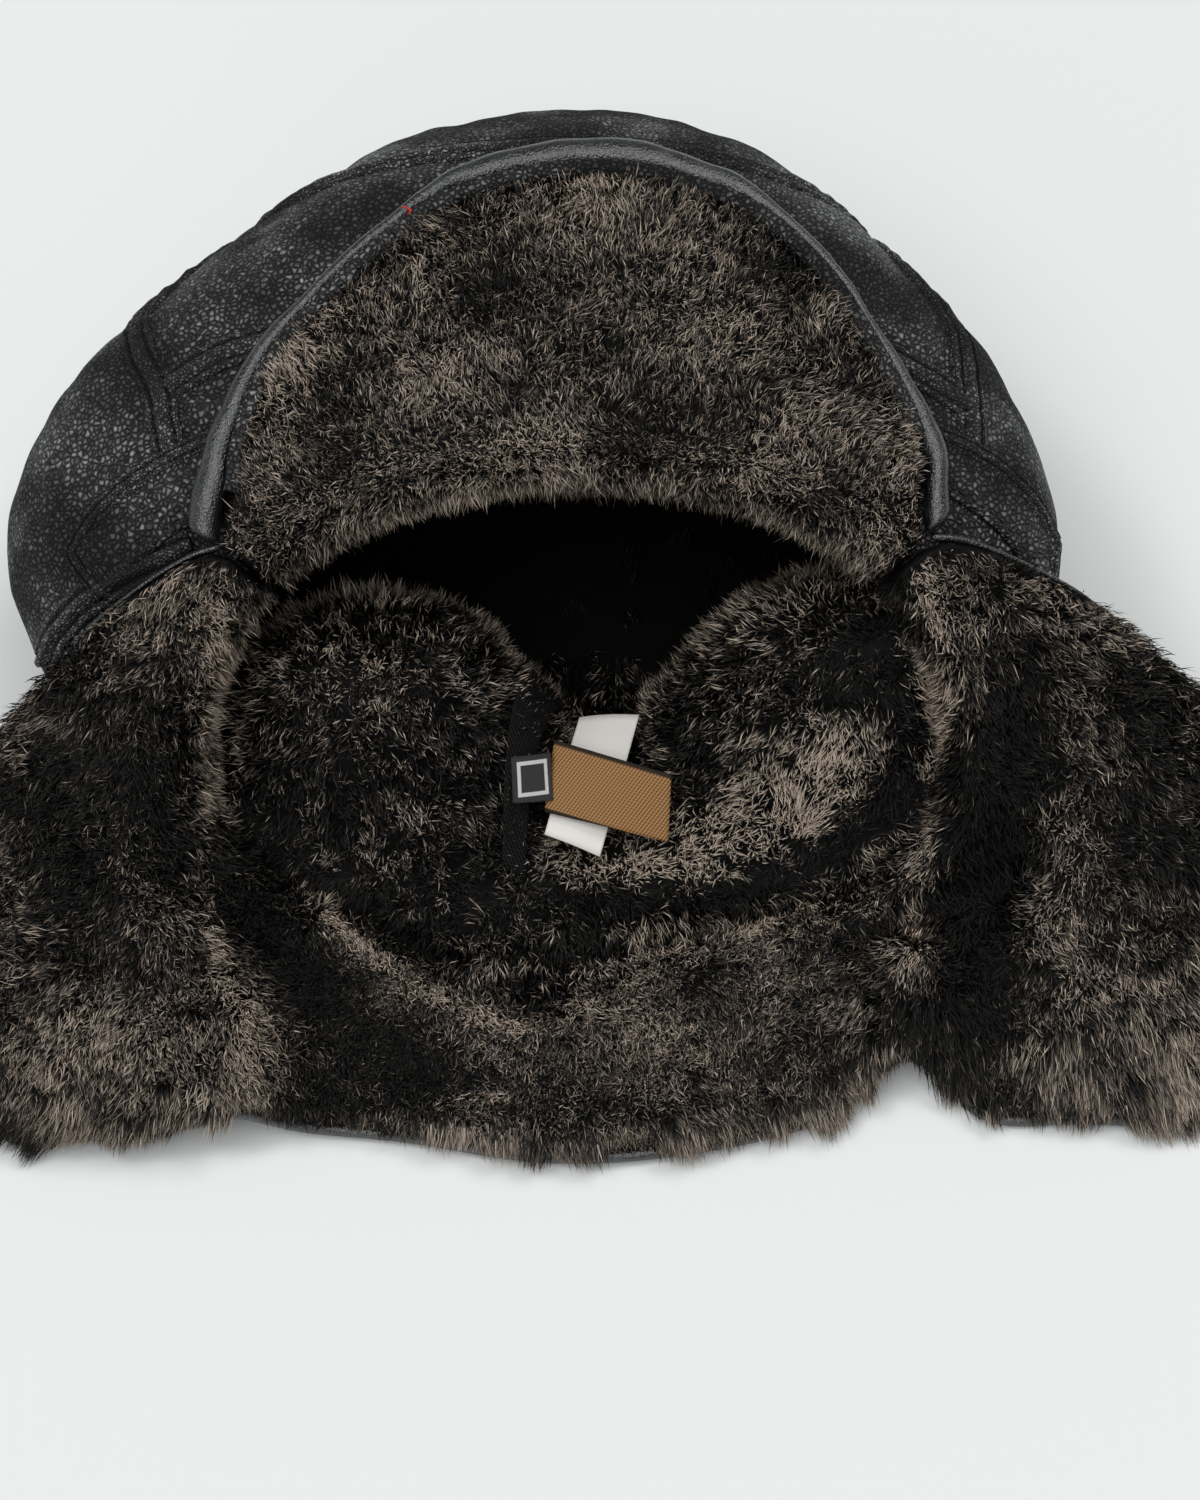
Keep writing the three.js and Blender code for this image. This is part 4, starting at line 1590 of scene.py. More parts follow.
    def lay_tufts(self, rng: np.random.Generator) -> Tufts:
        """Places the tufts, leans them and gives them their tones, with painted light and shade
        from the bend, the rows, the spots and strokes and the deep hollow.

        Args:
            rng: Source of the random draws.

        Returns:
            The tufts.
        """
        share = 1.0
        count = max(int(self.strands * share / self.tuft), 1)
        i, j = self.scatter(count, rng)
        up, top = unit(read_grid(self.up_grid, i, j)), read_grid(self.top_grid, i, j)
        du, dv = read_grid(self.du_grid, i, j), read_grid(self.dv_grid, i, j)
        e1 = unit(du)
        e2 = np.cross(up, e1)
        flow = np.array(self.lean, float)
        if self.fan[1]:
            away = top - np.array([self.fan[0], *HABIT.fan_height])
            flow = flow + unit(away) * self.fan[1]
        lean = flow - up * dot(flow, up)
        for more, way in ((1, e1), (2, e2)):
            swirl = Waves(HABIT.swirl_length, self.seed + more).at(top)
            lean = lean + way * (swirl * self.ruffle * HABIT.swirl)[:, None]
        lean = lean + rng.normal(size=(count, 3)) * self.ruffle * HABIT.stray
        lift = rng.normal(0, HABIT.lift_spread, count)
        edge = self.edge_way(j, top)[:, None]
        lean = lean + unit(dv) * edge + np.maximum(edge, 0) * np.array([0.0, 0.0, -HABIT.hang])
        patch = Waves(HABIT.patch_length, self.seed + 3).at(top) * self.tone_patch
        # Painted light on ridges and painted shade in valleys, from how the surface bends.
        bulge = read_grid(self.bend_grid, i, j)[:, 0] * self.bend_light
        # Rows: painted light on the crests and painted shade in the troughs, besides their rise and
        # sink.
        wave = np.sin(2 * math.pi * self.rows(top)) * self.bands
        tone = self.tone + patch + wave + np.clip(bulge, *HABIT.bend_light_limits)
        tone = tone + rng.normal(0, HABIT.tuft_tone, count)
        # The painted light and shade of the spots, strokes and deep hollow.
        for mark in self.painted_light:
            tone = tone + mark.tone(top)
        return Tufts(i, j, du, dv, e1, e2, lean, lift + wave * HABIT.row_lift, tone)

    def rows(self, top: Array) -> Array:
        """Which clipped row points lie in, counted in fractions of a row.

        Args:
            top: The points.

        Returns:
            One value per point.
        """
        stray = Waves(HABIT.row_length, self.seed + 5).at(top) * HABIT.row_stray
        along, rise = HABIT.row_way
        return (top[:, 1] * along + top[:, 2] * rise) / HABIT.row_step + stray

    def lay_strands(
        self, tufts: Tufts, rng: np.random.Generator
    ) -> tuple[Array, Array, Array, Array]:
        """Spreads the strands of every tuft over the surface.

        Args:
            tufts: The tufts.
            rng: Source of the random draws.

        Returns:
            Each strand's tuft, its fractional places in the grids, and its way from the
            tuft's middle.
        """
        nu, nv = self.fine
        k = np.repeat(np.arange(len(tufts.i)), self.tuft)
        a, b = rng.normal(0, self.spread, len(k)), rng.normal(0, self.spread, len(k))
        down = dot(tufts.dv, tufts.e2)[:, 0]
        down = np.where(np.abs(down) < 0.05, np.sign(down + 1e-9) * 0.05, down)
        limit = HABIT.step_limit
        step_j = np.clip(b / down[k], -limit, limit)
        across = np.maximum(np.linalg.norm(tufts.du, axis=-1)[k], 0.05)
        step_i = (a - dot(tufts.dv, tufts.e1)[k, 0] * step_j) / across
        i = tufts.i[k] + np.clip(step_i, -limit, limit)
        i = i % nu if self.wrap else np.clip(i, 0, nu - 0.001)
        j = np.clip(tufts.j[k] + step_j, 0, nv - 0.001)
        inside = read_grid(self.room_grid, i, j)[:, 0] > -HABIT.overhang
        k, a, b, i, j = k[inside], a[inside], b[inside], i[inside], j[inside]
        return k, i, j, tufts.e1[k] * a[:, None] + tufts.e2[k] * b[:, None]

    def grow(self) -> Net:
        """Strands in tufts.

        Returns:
            Triangles, two for each strand, with the strand map and soft normals.
        """
        rng = np.random.default_rng(self.seed)
        tufts = self.lay_tufts(rng)
        k, i, j, offset = self.lay_strands(tufts, rng)
        n = len(k)
        base, here = read_grid(self.top_grid, i, j), unit(read_grid(self.up_grid, i, j))
        shift = tufts.lean[k] - offset * self.gather + rng.normal(0, self.wild, (n, 3))
        rise = self.rise + tufts.lift[k] + rng.normal(0, HABIT.rise_spread, n)
        depth = self.root_depth + rng.uniform(*HABIT.root_spread, n)
        root = base - here * depth[:, None]
        tip = base + shift + here * rise[:, None]
        tip = tip - here * np.minimum(dot(tip - base, here) + HABIT.deepest_tip, 0)
        way = tip - root
        middle = root + way * HABIT.knee + here * HABIT.knee_rise - shift * HABIT.knee_back
        side = unit(np.cross(way, unit(rng.normal(size=(n, 3)))))
        side = side * (self.half_width * rng.uniform(*HABIT.width_spread, n))[:, None]
        face = np.cross(tip - (middle - side), side)
        side = np.where(dot(face, here) < 0, -side, side)
        face = unit(np.where(dot(face, here) < 0, -face, face))
        points = np.stack([root, middle - side, middle + side, tip], 1)
        points[..., 2] = np.maximum(points[..., 2], HABIT.above_floor)
        faces = np.arange(n)[:, None, None] * 4 + STRAND_CORNERS
        # The tuft's tone, with its painted light and shade, goes into the strand map.
        tone = np.clip(tufts.tone[k] + rng.normal(0, HABIT.strand_tone, n), *HABIT.tone_limits)
        uv = np.empty((n, 2, 3, 2))
        uv[..., 0] = tone[:, None, None] + STRAND_NUDGE[STRAND_CORNERS]
        uv[..., 1] = STRAND_LEVEL[STRAND_CORNERS]
        skin_share, face_share = HABIT.normal_mix
        soft = rng.normal(0, HABIT.normal_spread, (n, 3))
        normals = np.repeat(unit(here * skin_share + face * face_share + soft), 4, axis=0)
        return Net(points.reshape(-1, 3), faces.reshape(-1, 3), uv.reshape(-1, 2), normals)

    def backing(self) -> Net:
        """Closed dark backing under the strands.

        Returns:
            Its triangles, with the strand map and smooth normals.
        """
        (nu, nv), (fine_u, fine_v) = self.cells, self.fine
        i, j = cross_grid(np.linspace(0, fine_u, nu + 1), np.linspace(0, fine_v, nv + 1))
        top, up = read_grid(self.top_grid, i, j), unit(read_grid(self.up_grid, i, j))
        drop = self.edge_drop(j / fine_v)
        rough = Waves(7.0, self.seed + 4).at(top) * self.ground_wave
        room = LAYERS.fleece - drop
        front = top - up * np.minimum(self.ground + rough, room - 0.6)[..., None]
        back = top - up * (room - 0.05)[..., None]
        if self.wrap:
            front, back = close_end(front[:-1]), close_end(back[:-1])
        net = slab(front, back, self.wrap)
        quads = net.faces
        tris = np.concatenate([quads[:, [0, 1, 2]], quads[:, [0, 2, 3]]])
        a, b, c = (net.points[tris[:, q]] for q in range(3))
        bulk = np.cross(b - a, c - a)
        if (a * bulk).sum() < 0:
            tris, bulk = tris[:, ::-1], -bulk
        normals = np.zeros_like(net.points)
        for q in range(3):
            np.add.at(normals, tris[:, q], bulk)
        return Net(net.points, tris, np.tile(BACKING_UV, (len(tris), 1)), unit(normals))

    def build(self, *nodes: str) -> None:
        """Makes the piece.

        Args:
            nodes: The nodes that it stands for.
        """
        self.sample()
        ground, hair = self.backing(), self.grow()
        whole = Net(
            np.concatenate([ground.points, hair.points]),
            np.concatenate([ground.faces, hair.faces + len(ground.points)]),
            np.concatenate([ground.uv, hair.uv]), np.concatenate([ground.normals, hair.normals]),
        )
        dress(whole.make(self.name, weld=False), WOOL_FINISH, Slot.WOOL, *nodes)


@dataclass(frozen=True)
class Sector:
    """A part of the ear and neck flap: its span of angles, its strands and its side insets."""

    name: str
    u: Pair
    strands: int
    seed: int
    sides: Pair = (0.0, 0.0)


@dataclass
class Wool:
    """The wool of the front flap, of the ear and neck flap and of the lining."""

    form: HatForm
    sectors: tuple[Sector, ...] = (
        Sector("left_ear_flap_wool", (144.5, 231.0), 64000, 201, (1.0, 0.0)),
        Sector("neck_flap_wool", (231.0, 307.0), 58000, 301),
        Sector("right_ear_flap_wool", (307.0, 395.5), 64000, 401, (0.0, 1.0)),
    )
    # Painted light and shade on the wool of the ear and neck flap.
    flap_marks: tuple[PaintedLight, ...] = (
        PaintedSpot(-112, 98, 16, 18, 0.1),
        PaintedSpot(-120, 62, 28, 28, -0.4),
        PaintedSpot(-130, 12, 40, 14, 0.12),
        PaintedSpot(5, 18, 60, 12, 0.16),
        PaintedSpot(0, 30, 40, 8, -0.1),
        PaintedSpot(150, 70, 24, 34, -0.3),
        PaintedSpot(102, 56, 10, 28, -0.6),
        PaintedSpot(88, 26, 16, 16, -0.4),
        PaintedSpot(150, 20, 35, 20, 0.14),
        *FOLD_PAINTED_LIGHT,
    )
    # Painted shade on parts of the lining and at the deep end of the hollow, and painted light on
    # the pillow tops.
    lining_marks: tuple[PaintedLight, ...] = (
        PaintedSpot(72, 98, 22, 12, -0.25),
        PaintedSpot(20, 100, 20, 14, -0.2),
        PaintedSpot(-56, 88, 40, 24, -0.26),
        PaintedSpot(-20, 60, 16, 12, -0.1),
        PaintedSpot(-45, 134, 36, 10, 0.35),
        PaintedSpot(60, 134, 36, 10, 0.3),
        Depth(-0.9, 149, 12),
        *FOLD_PAINTED_LIGHT,
    )
    edge_crowd: Triple = (0.6, 0.85, 0.1)
    seen_reach: float = 0.4
    deep_reach: float = 0.46
    deep_share: float = 0.2
    far_share: float = 0.04

    def front_flap(self) -> None:
        """Wool of the turned-up front flap, set back from its piping."""
        Pelt(
            "front_flap_wool", self.form.front, self.form.front.u, strands=72000, seed=101,
            cells=(100, 36), tuft=18, spread=1.9, fan=(5.0, 0.5), edge_round=4.0, edge_lean=-1.6,
            inset=(6.6, 2.0, 2.0), half_width=0.15, bend_light=1.2, tone=0.57,
        ).build("front_flap_fleece")

    def flap_weight(self, phi: Array, v: Array) -> Array:
        """How many strands of the ear and neck flap stand where, with more at the edge."""
        more, start, over = self.edge_crowd
        return 1.0 + more * np.clip((v - start) / over, 0, 1)

    def ear_neck_flap(self) -> None:
        """Wool of the ear and neck flap, in three pieces."""
        for sector in self.sectors:
            Pelt(
                sector.name, self.form.ear, sector.u, strands=sector.strands, seed=sector.seed,
                cells=(90, 36), tuft=24, edge_round=4.0, edge_lean=7.0, inset=(0.0, *sector.sides),
                lean=(0.0, -1.4, 0.0), fan=(0.0, 0.4), tone=0.46, bands=0.13, half_width=0.16,
                weight=self.flap_weight, painted_light=self.flap_marks,
            ).build("ear_neck_flap_fleece")

    def lining_weight(self, phi: Array, s: Array) -> Array:
        """How many strands of the lining stand where, with few out of sight."""
        seen = (np.sin(np.radians(phi)) < 0.0) & (s < self.seen_reach)
        return np.where(seen, 1.0, np.where(s < self.deep_reach, self.deep_share, self.far_share))

    def lining(self) -> None:
        """Wool of the head hollow."""
        Pelt(
            "crown_wool", self.form.crown, self.form.crown.u, strands=87500, seed=501,
            cells=(110, 44), fine=(480, 220), wrap=True, bands=0.22, lean=(0.0, -0.9, -0.2),
            weight=self.lining_weight, painted_light=self.lining_marks,
        ).build("crown_lining")


# ---------------------------------------------------------------- sub-assemblies


@dataclass
class Seam:
    """A lapped seam on the crown: its path in angle and reach, and its rows of stitches."""

    name: str
    path: tuple[Pair, ...]
    wide: float = 1.9
    high: float = 1.25
    groove: float = 1.0
    rows: tuple[float, ...] = (-2.45, 2.45)
    lift: float = 0.0

    def trace(self, form: HatForm, spacing: float = 1.5) -> tuple[Array, Array]:
        """Evenly spaced points of the seam on the outside of the crown.

        Args:
            form: The hat's form.
            spacing: Distance between points in millimetres.

        Returns:
            Points and outward directions.
        """
        t, knots = np.linspace(0, 1, 400), np.linspace(0, 1, len(self.path))
        table = Table("t phi s", *[(k, *place) for k, place in zip(knots, self.path)])
        row = table.read(t)
        p = form.crown.at(row["phi"], row["s"], LAYERS.wall + self.lift)
        reach = np.concatenate([[0], np.cumsum(np.linalg.norm(np.diff(p, axis=0), axis=1))])
        even = np.interp(np.linspace(0, reach[-1], max(int(reach[-1] / spacing), 8)), reach, t)
        row = table.read(even)
        p = form.crown.at(row["phi"], row["s"], LAYERS.wall + self.lift)
        return p, form.crown.normal(row["phi"], row["s"])

    def section(self) -> tuple[Pair, ...]:
        """Cross-section of the strip: a raised lap between two grooves.

        Returns:
            Offsets across and above the path, in order.
        """
        w, g, h = self.wide, self.groove, self.high
        out = (3.0, 2.2, 1.4, 0.55, 0.0)
        up = (-1.6, 0.25, 0.6, -0.4, 0.6)
        half = (*((-w - g * a, b) for a, b in zip(out, up)), (-w * 0.55, h))
        return (*half, (0.0, h * 1.05), *((-a, b) for a, b in reversed(half)))


TUCK = {"wide": 1.6, "high": 2.2, "groove": 1.2, "rows": (3.6,)}
BAND_EDGE = {"wide": 0.9, "high": 0.9, "groove": 0.7, "rows": (), "lift": 1.5}
CROWN_PANELS = ("top", "front_upper", "front_lower", "left", "right", "back")


@dataclass
class Crown:
    """The crown's leather with its seams, and the band round its front."""

    form: HatForm
    across: int = 230
    along: int = 84
    seams: tuple[Seam, ...] = (
        Seam("left_side", ((158, 0.74), (153, 0.59), (143, 0.47), (136, 0.36), (136, 0.225))),
        Seam("right_side", ((24, 0.74), (31, 0.54), (35, 0.42), (36, 0.285))),
        Seam("front_across", ((135, 0.37), (123, 0.42), (90, 0.43), (57, 0.42), (36, 0.37))),
        Seam("top_back", ((180, 0.775), (225, 0.78), (270, 0.785), (315, 0.78), (360, 0.775))),
        Seam("top_front", ((0, 0.775), (45, 0.785), (90, 0.79), (135, 0.785), (180, 0.775))),
        Seam("back_left", ((225, 0.05), (225, 0.3), (226, 0.55), (228, 0.775))),
        Seam("back_right", ((315, 0.05), (315, 0.3), (314, 0.55), (312, 0.775))),
        Seam("left_tuck", ((184, 0.19), (174, 0.16), (163, 0.13), (146, 0.075)), **TUCK),
        Seam("right_tuck", ((-4, 0.17), (6, 0.14), (16, 0.12), (33, 0.075)), **TUCK),
        Seam("band_left", ((160, 0.185), (150, 0.2), (140, 0.212), (122, 0.222)), **BAND_EDGE),
        Seam("band_left_end", ((160, 0.187), (161.5, 0.15), (163, 0.12)), **BAND_EDGE),
        Seam("band_right", ((12, 0.252), (22, 0.265), (36, 0.268), (56, 0.25)), **BAND_EDGE),
        Seam("band_right_end", ((12, 0.254), (10.5, 0.21), (9.5, 0.17)), **BAND_EDGE),
    )
    mouth: Pair = (0.012, 0.06)
    swell: Pair = (46.0, 0.5)
    dimple: Pair = (17.0, 0.22)
    highest: float = 0.9
    sunk: float = 0.25
    flat_near: float = 60.0
    press: Pair = (1.3, 24.0)
    strip_lift: float = 0.25
    strip_wave: float = 0.18
    band_reach: Table = Table(
        "phi low high",
        (12, 0.16, 0.26),
        (30, 0.16, 0.28),
        (60, 0.12, 0.25),
        (90, 0.1, 0.22),
        (125, 0.1, 0.225),
        (145, 0.1, 0.21),
        (160, 0.115, 0.19),
    )
    band_ends: Pair = (12, 158)
    band_flare: Pair = (3, 6)
    band_thick: float = 1.7
    band_bead: Triple = (0.9, 0.9, 0.4)
    band_channel: Triple = (2.6, 0.75, 0.6)
    band_points: Cells = (260, 17)
    stitch_inset: Pair = (0.012, 0.15)
    stitch_lift: float = 1.35

    def shell(self) -> None:
        """The leather of the crown, pressed in along its seams."""
        start, mouth = self.mouth
        near = np.linspace(start, mouth, 6)[:-1]
        s = np.concatenate([near, np.linspace(mouth, 1, self.along - 5)])
        phi, s = cross_grid(np.linspace(0, 360, self.across + 1)[:-1], s)
        outer = self.form.crown.at(phi, s, LAYERS.wall)
        (length, high), (short, low) = self.swell, self.dimple
        relief = Waves(length, 11).at(outer) * high + Waves(short, 12).at(outer) * low
        relief = np.minimum(relief, self.highest) - self.sunk
        deep, reach = self.press
        for seam in (one for one in self.seams if not one.lift):
            gap = np.full(outer.shape[:2], FAR)
            for p in seam.trace(self.form, 2.5)[0]:
                gap = np.minimum(gap, ((outer - p) ** 2).sum(-1))
            relief = relief * (1 - np.exp(-gap / self.flat_near)) - deep * np.exp(-gap / reach)
        edge = np.clip((1 - s) / 0.03, 0, 1)
        above = np.clip((outer[..., 2] - 0.2) / 1.5, 0, 1)
        outer = outer + self.form.crown.normal(phi, s) * (relief * edge * above)[..., None]
        outer[..., 2] = np.maximum(outer[..., 2], 0.03)
        inner = self.form.crown.at(phi, s, LAYERS.fleece + LAYERS.gap)
        shell = slab(close_end(outer), close_end(inner), wrap=True).make("crown_shell")
        dress(shell, CROWN_FINISH, Slot.CROWN, *(f"crown_{name}_panel" for name in CROWN_PANELS))

    def seam_strips(self) -> list[Array]:
        """Lapped seam strips.

        Returns:
            Points of every row of stitches beside them.
        """
        rows = []
        for seam in self.seams:
            path, up = seam.trace(self.form)
            across = unit(np.cross(up, unit(np.gradient(path, axis=0))))
            wave = Waves(6.0, 21).at(path)[:, None] * self.strip_wave
            path[:, 2] = np.maximum(path[:, 2], seam.high + 0.3)
            net = strip(path + up * (self.strip_lift + wave), up, seam.section())
            net.points[:, 2] = np.maximum(net.points[:, 2], 0.05)
            dress(net.make(f"crown_seam_{seam.name}"), SEAM_FINISH, Slot.CROWN)
            rows += [path + across * offset - up * 0.15 for offset in seam.rows]
        return rows

    def band_surface(self, a: Array, b: Array, lift: Array | float) -> Array:
        """Points over the crown where the band lies.

        Args:
            a: Share of the way along the band.
            b: Share of the way across it.
            lift: Height over the crown's leather in millimetres.

        Returns:
            The points.
        """
        (first, last), (right, left) = self.band_ends, self.band_flare
        phi = mix(first - right * (1 - b), last + left * (1 - b), a)
        key = self.band_reach.data[:, 0]
        row = self.band_reach.read(np.clip(phi, key[0], key[-1]))
        return self.form.crown.at(phi, mix(row["low"], row["high"], b), LAYERS.wall + lift)

    def band(self) -> list[Array]:
        """The leather band round the lower front of the crown.

        Returns:
            Points of every row of stitches.
        """
        nu, nv = self.band_points
        u, v = cross_grid(np.linspace(0, 1, nu), np.linspace(0, 1, nv))
        edge = np.minimum(np.minimum(v, 1 - v) * 17, np.minimum(u, 1 - u) * 240)
        (at, high, wide), (low_at, low, low_wide) = self.band_bead, self.band_channel
        bead = np.exp(-((edge - at) ** 2) / wide) * high
        bead = bead - np.exp(-((edge - low_at) ** 2) / low_wide) * low
        rough = Waves(12.0, 31).at(self.band_surface(u, v, 0.0)) * 0.15
        lift = self.band_thick + (bead + rough) * np.clip(edge, 0, 1) - 0.5 * np.exp(-edge * 3)
        net = slab(self.band_surface(u, v, lift), self.band_surface(u, v, 0.1))
        dress(net.make("front_band_leather"), CROWN_FINISH, Slot.CROWN, "front_band")
        end, side = self.stitch_inset
        along, across = np.linspace(end, 1 - end, 500), np.linspace(side, 1 - side, 40)
        lines = [(along, np.full(along.shape, b)) for b in (side, 1 - side)]
        lines += [(np.full(across.shape, a), across) for a in (end, 1 - end)]
        return [self.band_surface(a, b, self.stitch_lift) for a, b in lines]


@dataclass
class Stitches:
    """Thread stitches along rows, made with Geometry Nodes; sizes in metres."""

    pitch: float = 0.0033
    length: float = 0.0024
    thick: float = 0.00048

    def tree(self, material: bpy.types.Material) -> bpy.types.NodeTree:
        """The node tree that lays stitches along curves.

        Args:
            material: Finish of the thread.

        Returns:
            The tree, with the inputs Pitch, Length and Thick.
        """
        tree = bpy.data.node_groups.new("stitch_rows", "GeometryNodeTree")
        face = tree.interface
        face.new_socket(name="Geometry", in_out="INPUT", socket_type="NodeSocketGeometry")
        for name, value in (("Pitch", self.pitch), ("Length", self.length), ("Thick", self.thick)):
            socket = face.new_socket(name=name, in_out="INPUT", socket_type="NodeSocketFloat")
            socket.default_value = value
        face.new_socket(name="Geometry", in_out="OUTPUT", socket_type="NodeSocketGeometry")
        n = Nodes(tree)
        given, out = n.add("NodeGroupInput").outputs, n.add("NodeGroupOutput").inputs
        points = n.add(
            "GeometryNodeCurveToPoints", mode="LENGTH", in_Curve=given["Geometry"],
            in_Length=given["Pitch"],
        ).outputs
        ball = n.add("GeometryNodeMeshUVSphere", in_Segments=5, in_Rings=4, in_Radius=0.5)
        thick = given["Thick"]
        size = n.add("ShaderNodeCombineXYZ", in_X=thick, in_Y=thick, in_Z=given["Length"])
        lay = n.add(
            "GeometryNodeInstanceOnPoints", in_Points=points["Points"],
            in_Instance=ball.outputs["Mesh"], in_Rotation=points["Rotation"],
            in_Scale=size.outputs[0],
        )
        real = n.add("GeometryNodeRealizeInstances", in_0=lay.outputs[0])
        paint = n.add("GeometryNodeSetMaterial", in_Geometry=real.outputs[0], in_Material=material)
        n.feed(out["Geometry"], paint.outputs["Geometry"])
        return tree

    def sew(self, name: str, rows: list[Array], slot: Slot) -> None:
        """Sews rows of stitches as one plain mesh.

        Args:
            name: Name of the piece.
            rows: Points of each row, in millimetres.
            slot: Slot in the record.
        """
        curve = bpy.data.curves.new(name + "_rows", "CURVE")
        curve.dimensions = "3D"
        for row in rows:
            spline = curve.splines.new("POLY")
            spline.points.add(len(row) - 1)
            flat = np.concatenate([PLACE.row(row), np.ones((len(row), 1))], 1)
            spline.points.foreach_set("co", flat.astype(np.float32).ravel())
        guide = add_object(name + "_rows", curve)
        tree = bpy.data.node_groups.get("stitch_rows") or self.tree(THREAD_FINISH.material())
        change = guide.modifiers.new("stitches", "NODES")
        change.node_group = tree
        for item in tree.interface.items_tree:
            if item.in_out == "INPUT" and item.name in ("Pitch", "Length", "Thick"):
                change[item.identifier] = getattr(self, item.name.lower())
        graph = bpy.context.evaluated_depsgraph_get()
        graph.update()
        mesh = bpy.data.meshes.new_from_object(guide.evaluated_get(graph))
        bpy.data.objects.remove(guide)
        bpy.data.curves.remove(curve)
        mesh.polygons.foreach_set("use_smooth", np.ones(len(mesh.polygons), bool))
        dress(add_object(name, mesh), THREAD_FINISH, slot)


@dataclass(frozen=True)
class EdgeSize:
    """Depth, reach, steps, half width, half height and sides of an edge, in millimetres."""

    depth: float
    out: float
    count: int
    wide: float = 0.0
    high: float = 0.0
    sides: int = 0


@dataclass
class Flaps:
    """Leather backs, rolled edges and the inner strip of the two flaps."""

    form: HatForm
    piping: EdgeSize = EdgeSize(5.4, 5.0, 260, wide=4.4, high=3.7, sides=16)
    roll: EdgeSize = EdgeSize(8.4, 2.3, 300, wide=1.8, high=1.8, sides=9)
    trim: EdgeSize = EdgeSize(2.2, -1.9, 300)
    trim_ends: Pair = (12, 10)
    trim_section: tuple[Pair, ...] = (
        (-2.4, -3.0),
        (-2.2, 0.2),
        (-1.3, 0.95),
        (0.0, 1.1),
        (1.3, 0.95),
        (2.2, 0.2),
        (2.4, -3.0),
    )
    swell: float = 0.035
    side_count: int = 70
    side_reach: Pair = (0.36, 0.99)
    red_place: float = 107.6
    red_radius: float = 0.42

    def leather(self, name: str, skin: Skin, cells: Cells) -> None:
        """Leather back of a flap.

        Args:
            name: The flap's name.
            skin: The flap's skin.
            cells: Cells along and across the flap.
        """
        u, v = cross_grid(np.linspace(*skin.u, cells[0] + 1), np.linspace(0, 1, cells[1] + 1))
        v = np.maximum(v, LAYERS.rim_gap / skin.rim_rate(u))
        inner = skin.at(u, v, LAYERS.fleece + LAYERS.gap)
        outer = skin.at(u, v, LAYERS.wall)
        outer[..., 2] = np.maximum(outer[..., 2], 0.05)
        inner[..., 2] = np.maximum(inner[..., 2], 0.6)
        dress(slab(inner, outer).make(name + "_back"), CROWN_FINISH, Slot.CROWN, name + "_leather")

    @staticmethod
    def edge_path(skin: Skin, span: Pair, size: EdgeSize) -> tuple[Array, Array, Array]:
        """Path along the free edge of a flap with its two directions.

        Args:
            skin: The flap's skin.
            span: First and last angle.
            size: Sizes of the edge.

        Returns:
            Points, directions outward and directions down.
        """
        phi, one = np.linspace(*span, size.count), np.ones(size.count)
        edge, normal = skin.point(phi, one), skin.normal(phi, one)
        along = edge - skin.point(phi, one * 0.985)
        along = unit(along - normal * dot(along, normal))
        return edge + normal * size.depth + along * size.out, along, normal

    def front_piping(self) -> None:
        """The thick rolled edge of the front flap."""
        size, skin = self.piping, self.form.front
        middle, along, normal = self.edge_path(skin, skin.u, size)
        swell = 1 + Waves(14.0, 41).at(middle)[:, None] * self.swell
        wide, high = along * size.wide * swell, normal * size.high * swell
        net = rod(middle, wide, high, size.sides)
        dress(net.make("front_flap_piping_roll"), EDGE_FINISH, Slot.EDGE, "front_flap_piping")

    def ear_neck_roll(self) -> None:
        """The rolled edge of the ear and neck flap, down both front edges too."""
        skin, size, sides = self.form.ear, self.roll, self.side_count
        (low, high), step = skin.u, np.linspace(*self.side_reach, sides)
        first, last = np.full(sides, low), np.full(sides, high)
        u = np.concatenate([first, np.linspace(low, high, size.count), last])
        v = np.concatenate([step, np.ones(size.count), step[::-1]])
        p, normal = skin.point(u, v), skin.normal(u, v)
        down = p - skin.point(u, v - 0.015)
        side = p - skin.point(np.clip(u, low + 1, high - 1), v)
        place = np.arange(len(u))
        ends = (place < sides) | (place >= len(u) - sides)
        along = np.where(ends[:, None], side, down)
        along = unit(along - normal * dot(along, normal))
        middle = p + normal * size.depth + along * size.out
        for _ in range(5):
            for way in (middle, along, normal):
                way[1:-1] = (way[:-2] + 2 * way[1:-1] + way[2:]) / 4
        middle[:, 2] = np.maximum(middle[:, 2], size.high + 0.1)
        net = rod(middle, unit(along) * size.wide, unit(normal) * size.high, size.sides)
        dress(net.make("ear_neck_piping_roll"), EDGE_FINISH, Slot.EDGE, "ear_neck_flap_piping")

    def red_thread(self) -> None:
        """A bit of red thread caught under the inner strip."""
        t = np.linspace(0, 1, 14)
        start = self.form.front.at(np.array([self.red_place]), np.array([1.0]), 0.2)[0]
        reach = stack(np.sin(t * 5.0) * 1.1, t * 2.6 - 1.0, 0.6 + np.sin(t * 3.1) * 0.8)
        wide, high = (np.tile(np.eye(3)[k] * self.red_radius, (len(t), 1)) for k in (0, 2))
        dress(rod(start + reach, wide, high, 6).make("red_thread_bit"), RED_FINISH, Slot.EDGE)

    def front_trim(self) -> list[Array]:
        """Narrow leather strip inside the piping of the front flap.

        Returns:
            The row of stitches beside it.
        """
        skin, (first, last) = self.form.front, self.trim_ends
        span = (skin.u[0] + first, skin.u[1] - last)
        middle, along, normal = self.edge_path(skin, span, self.trim)
        net = strip(middle, -normal, self.trim_section)
        dress(net.make("front_flap_trim"), CROWN_FINISH, Slot.EDGE, "front_flap_edge_strip")
        return [middle + along * 1.9 - normal * 0.5]


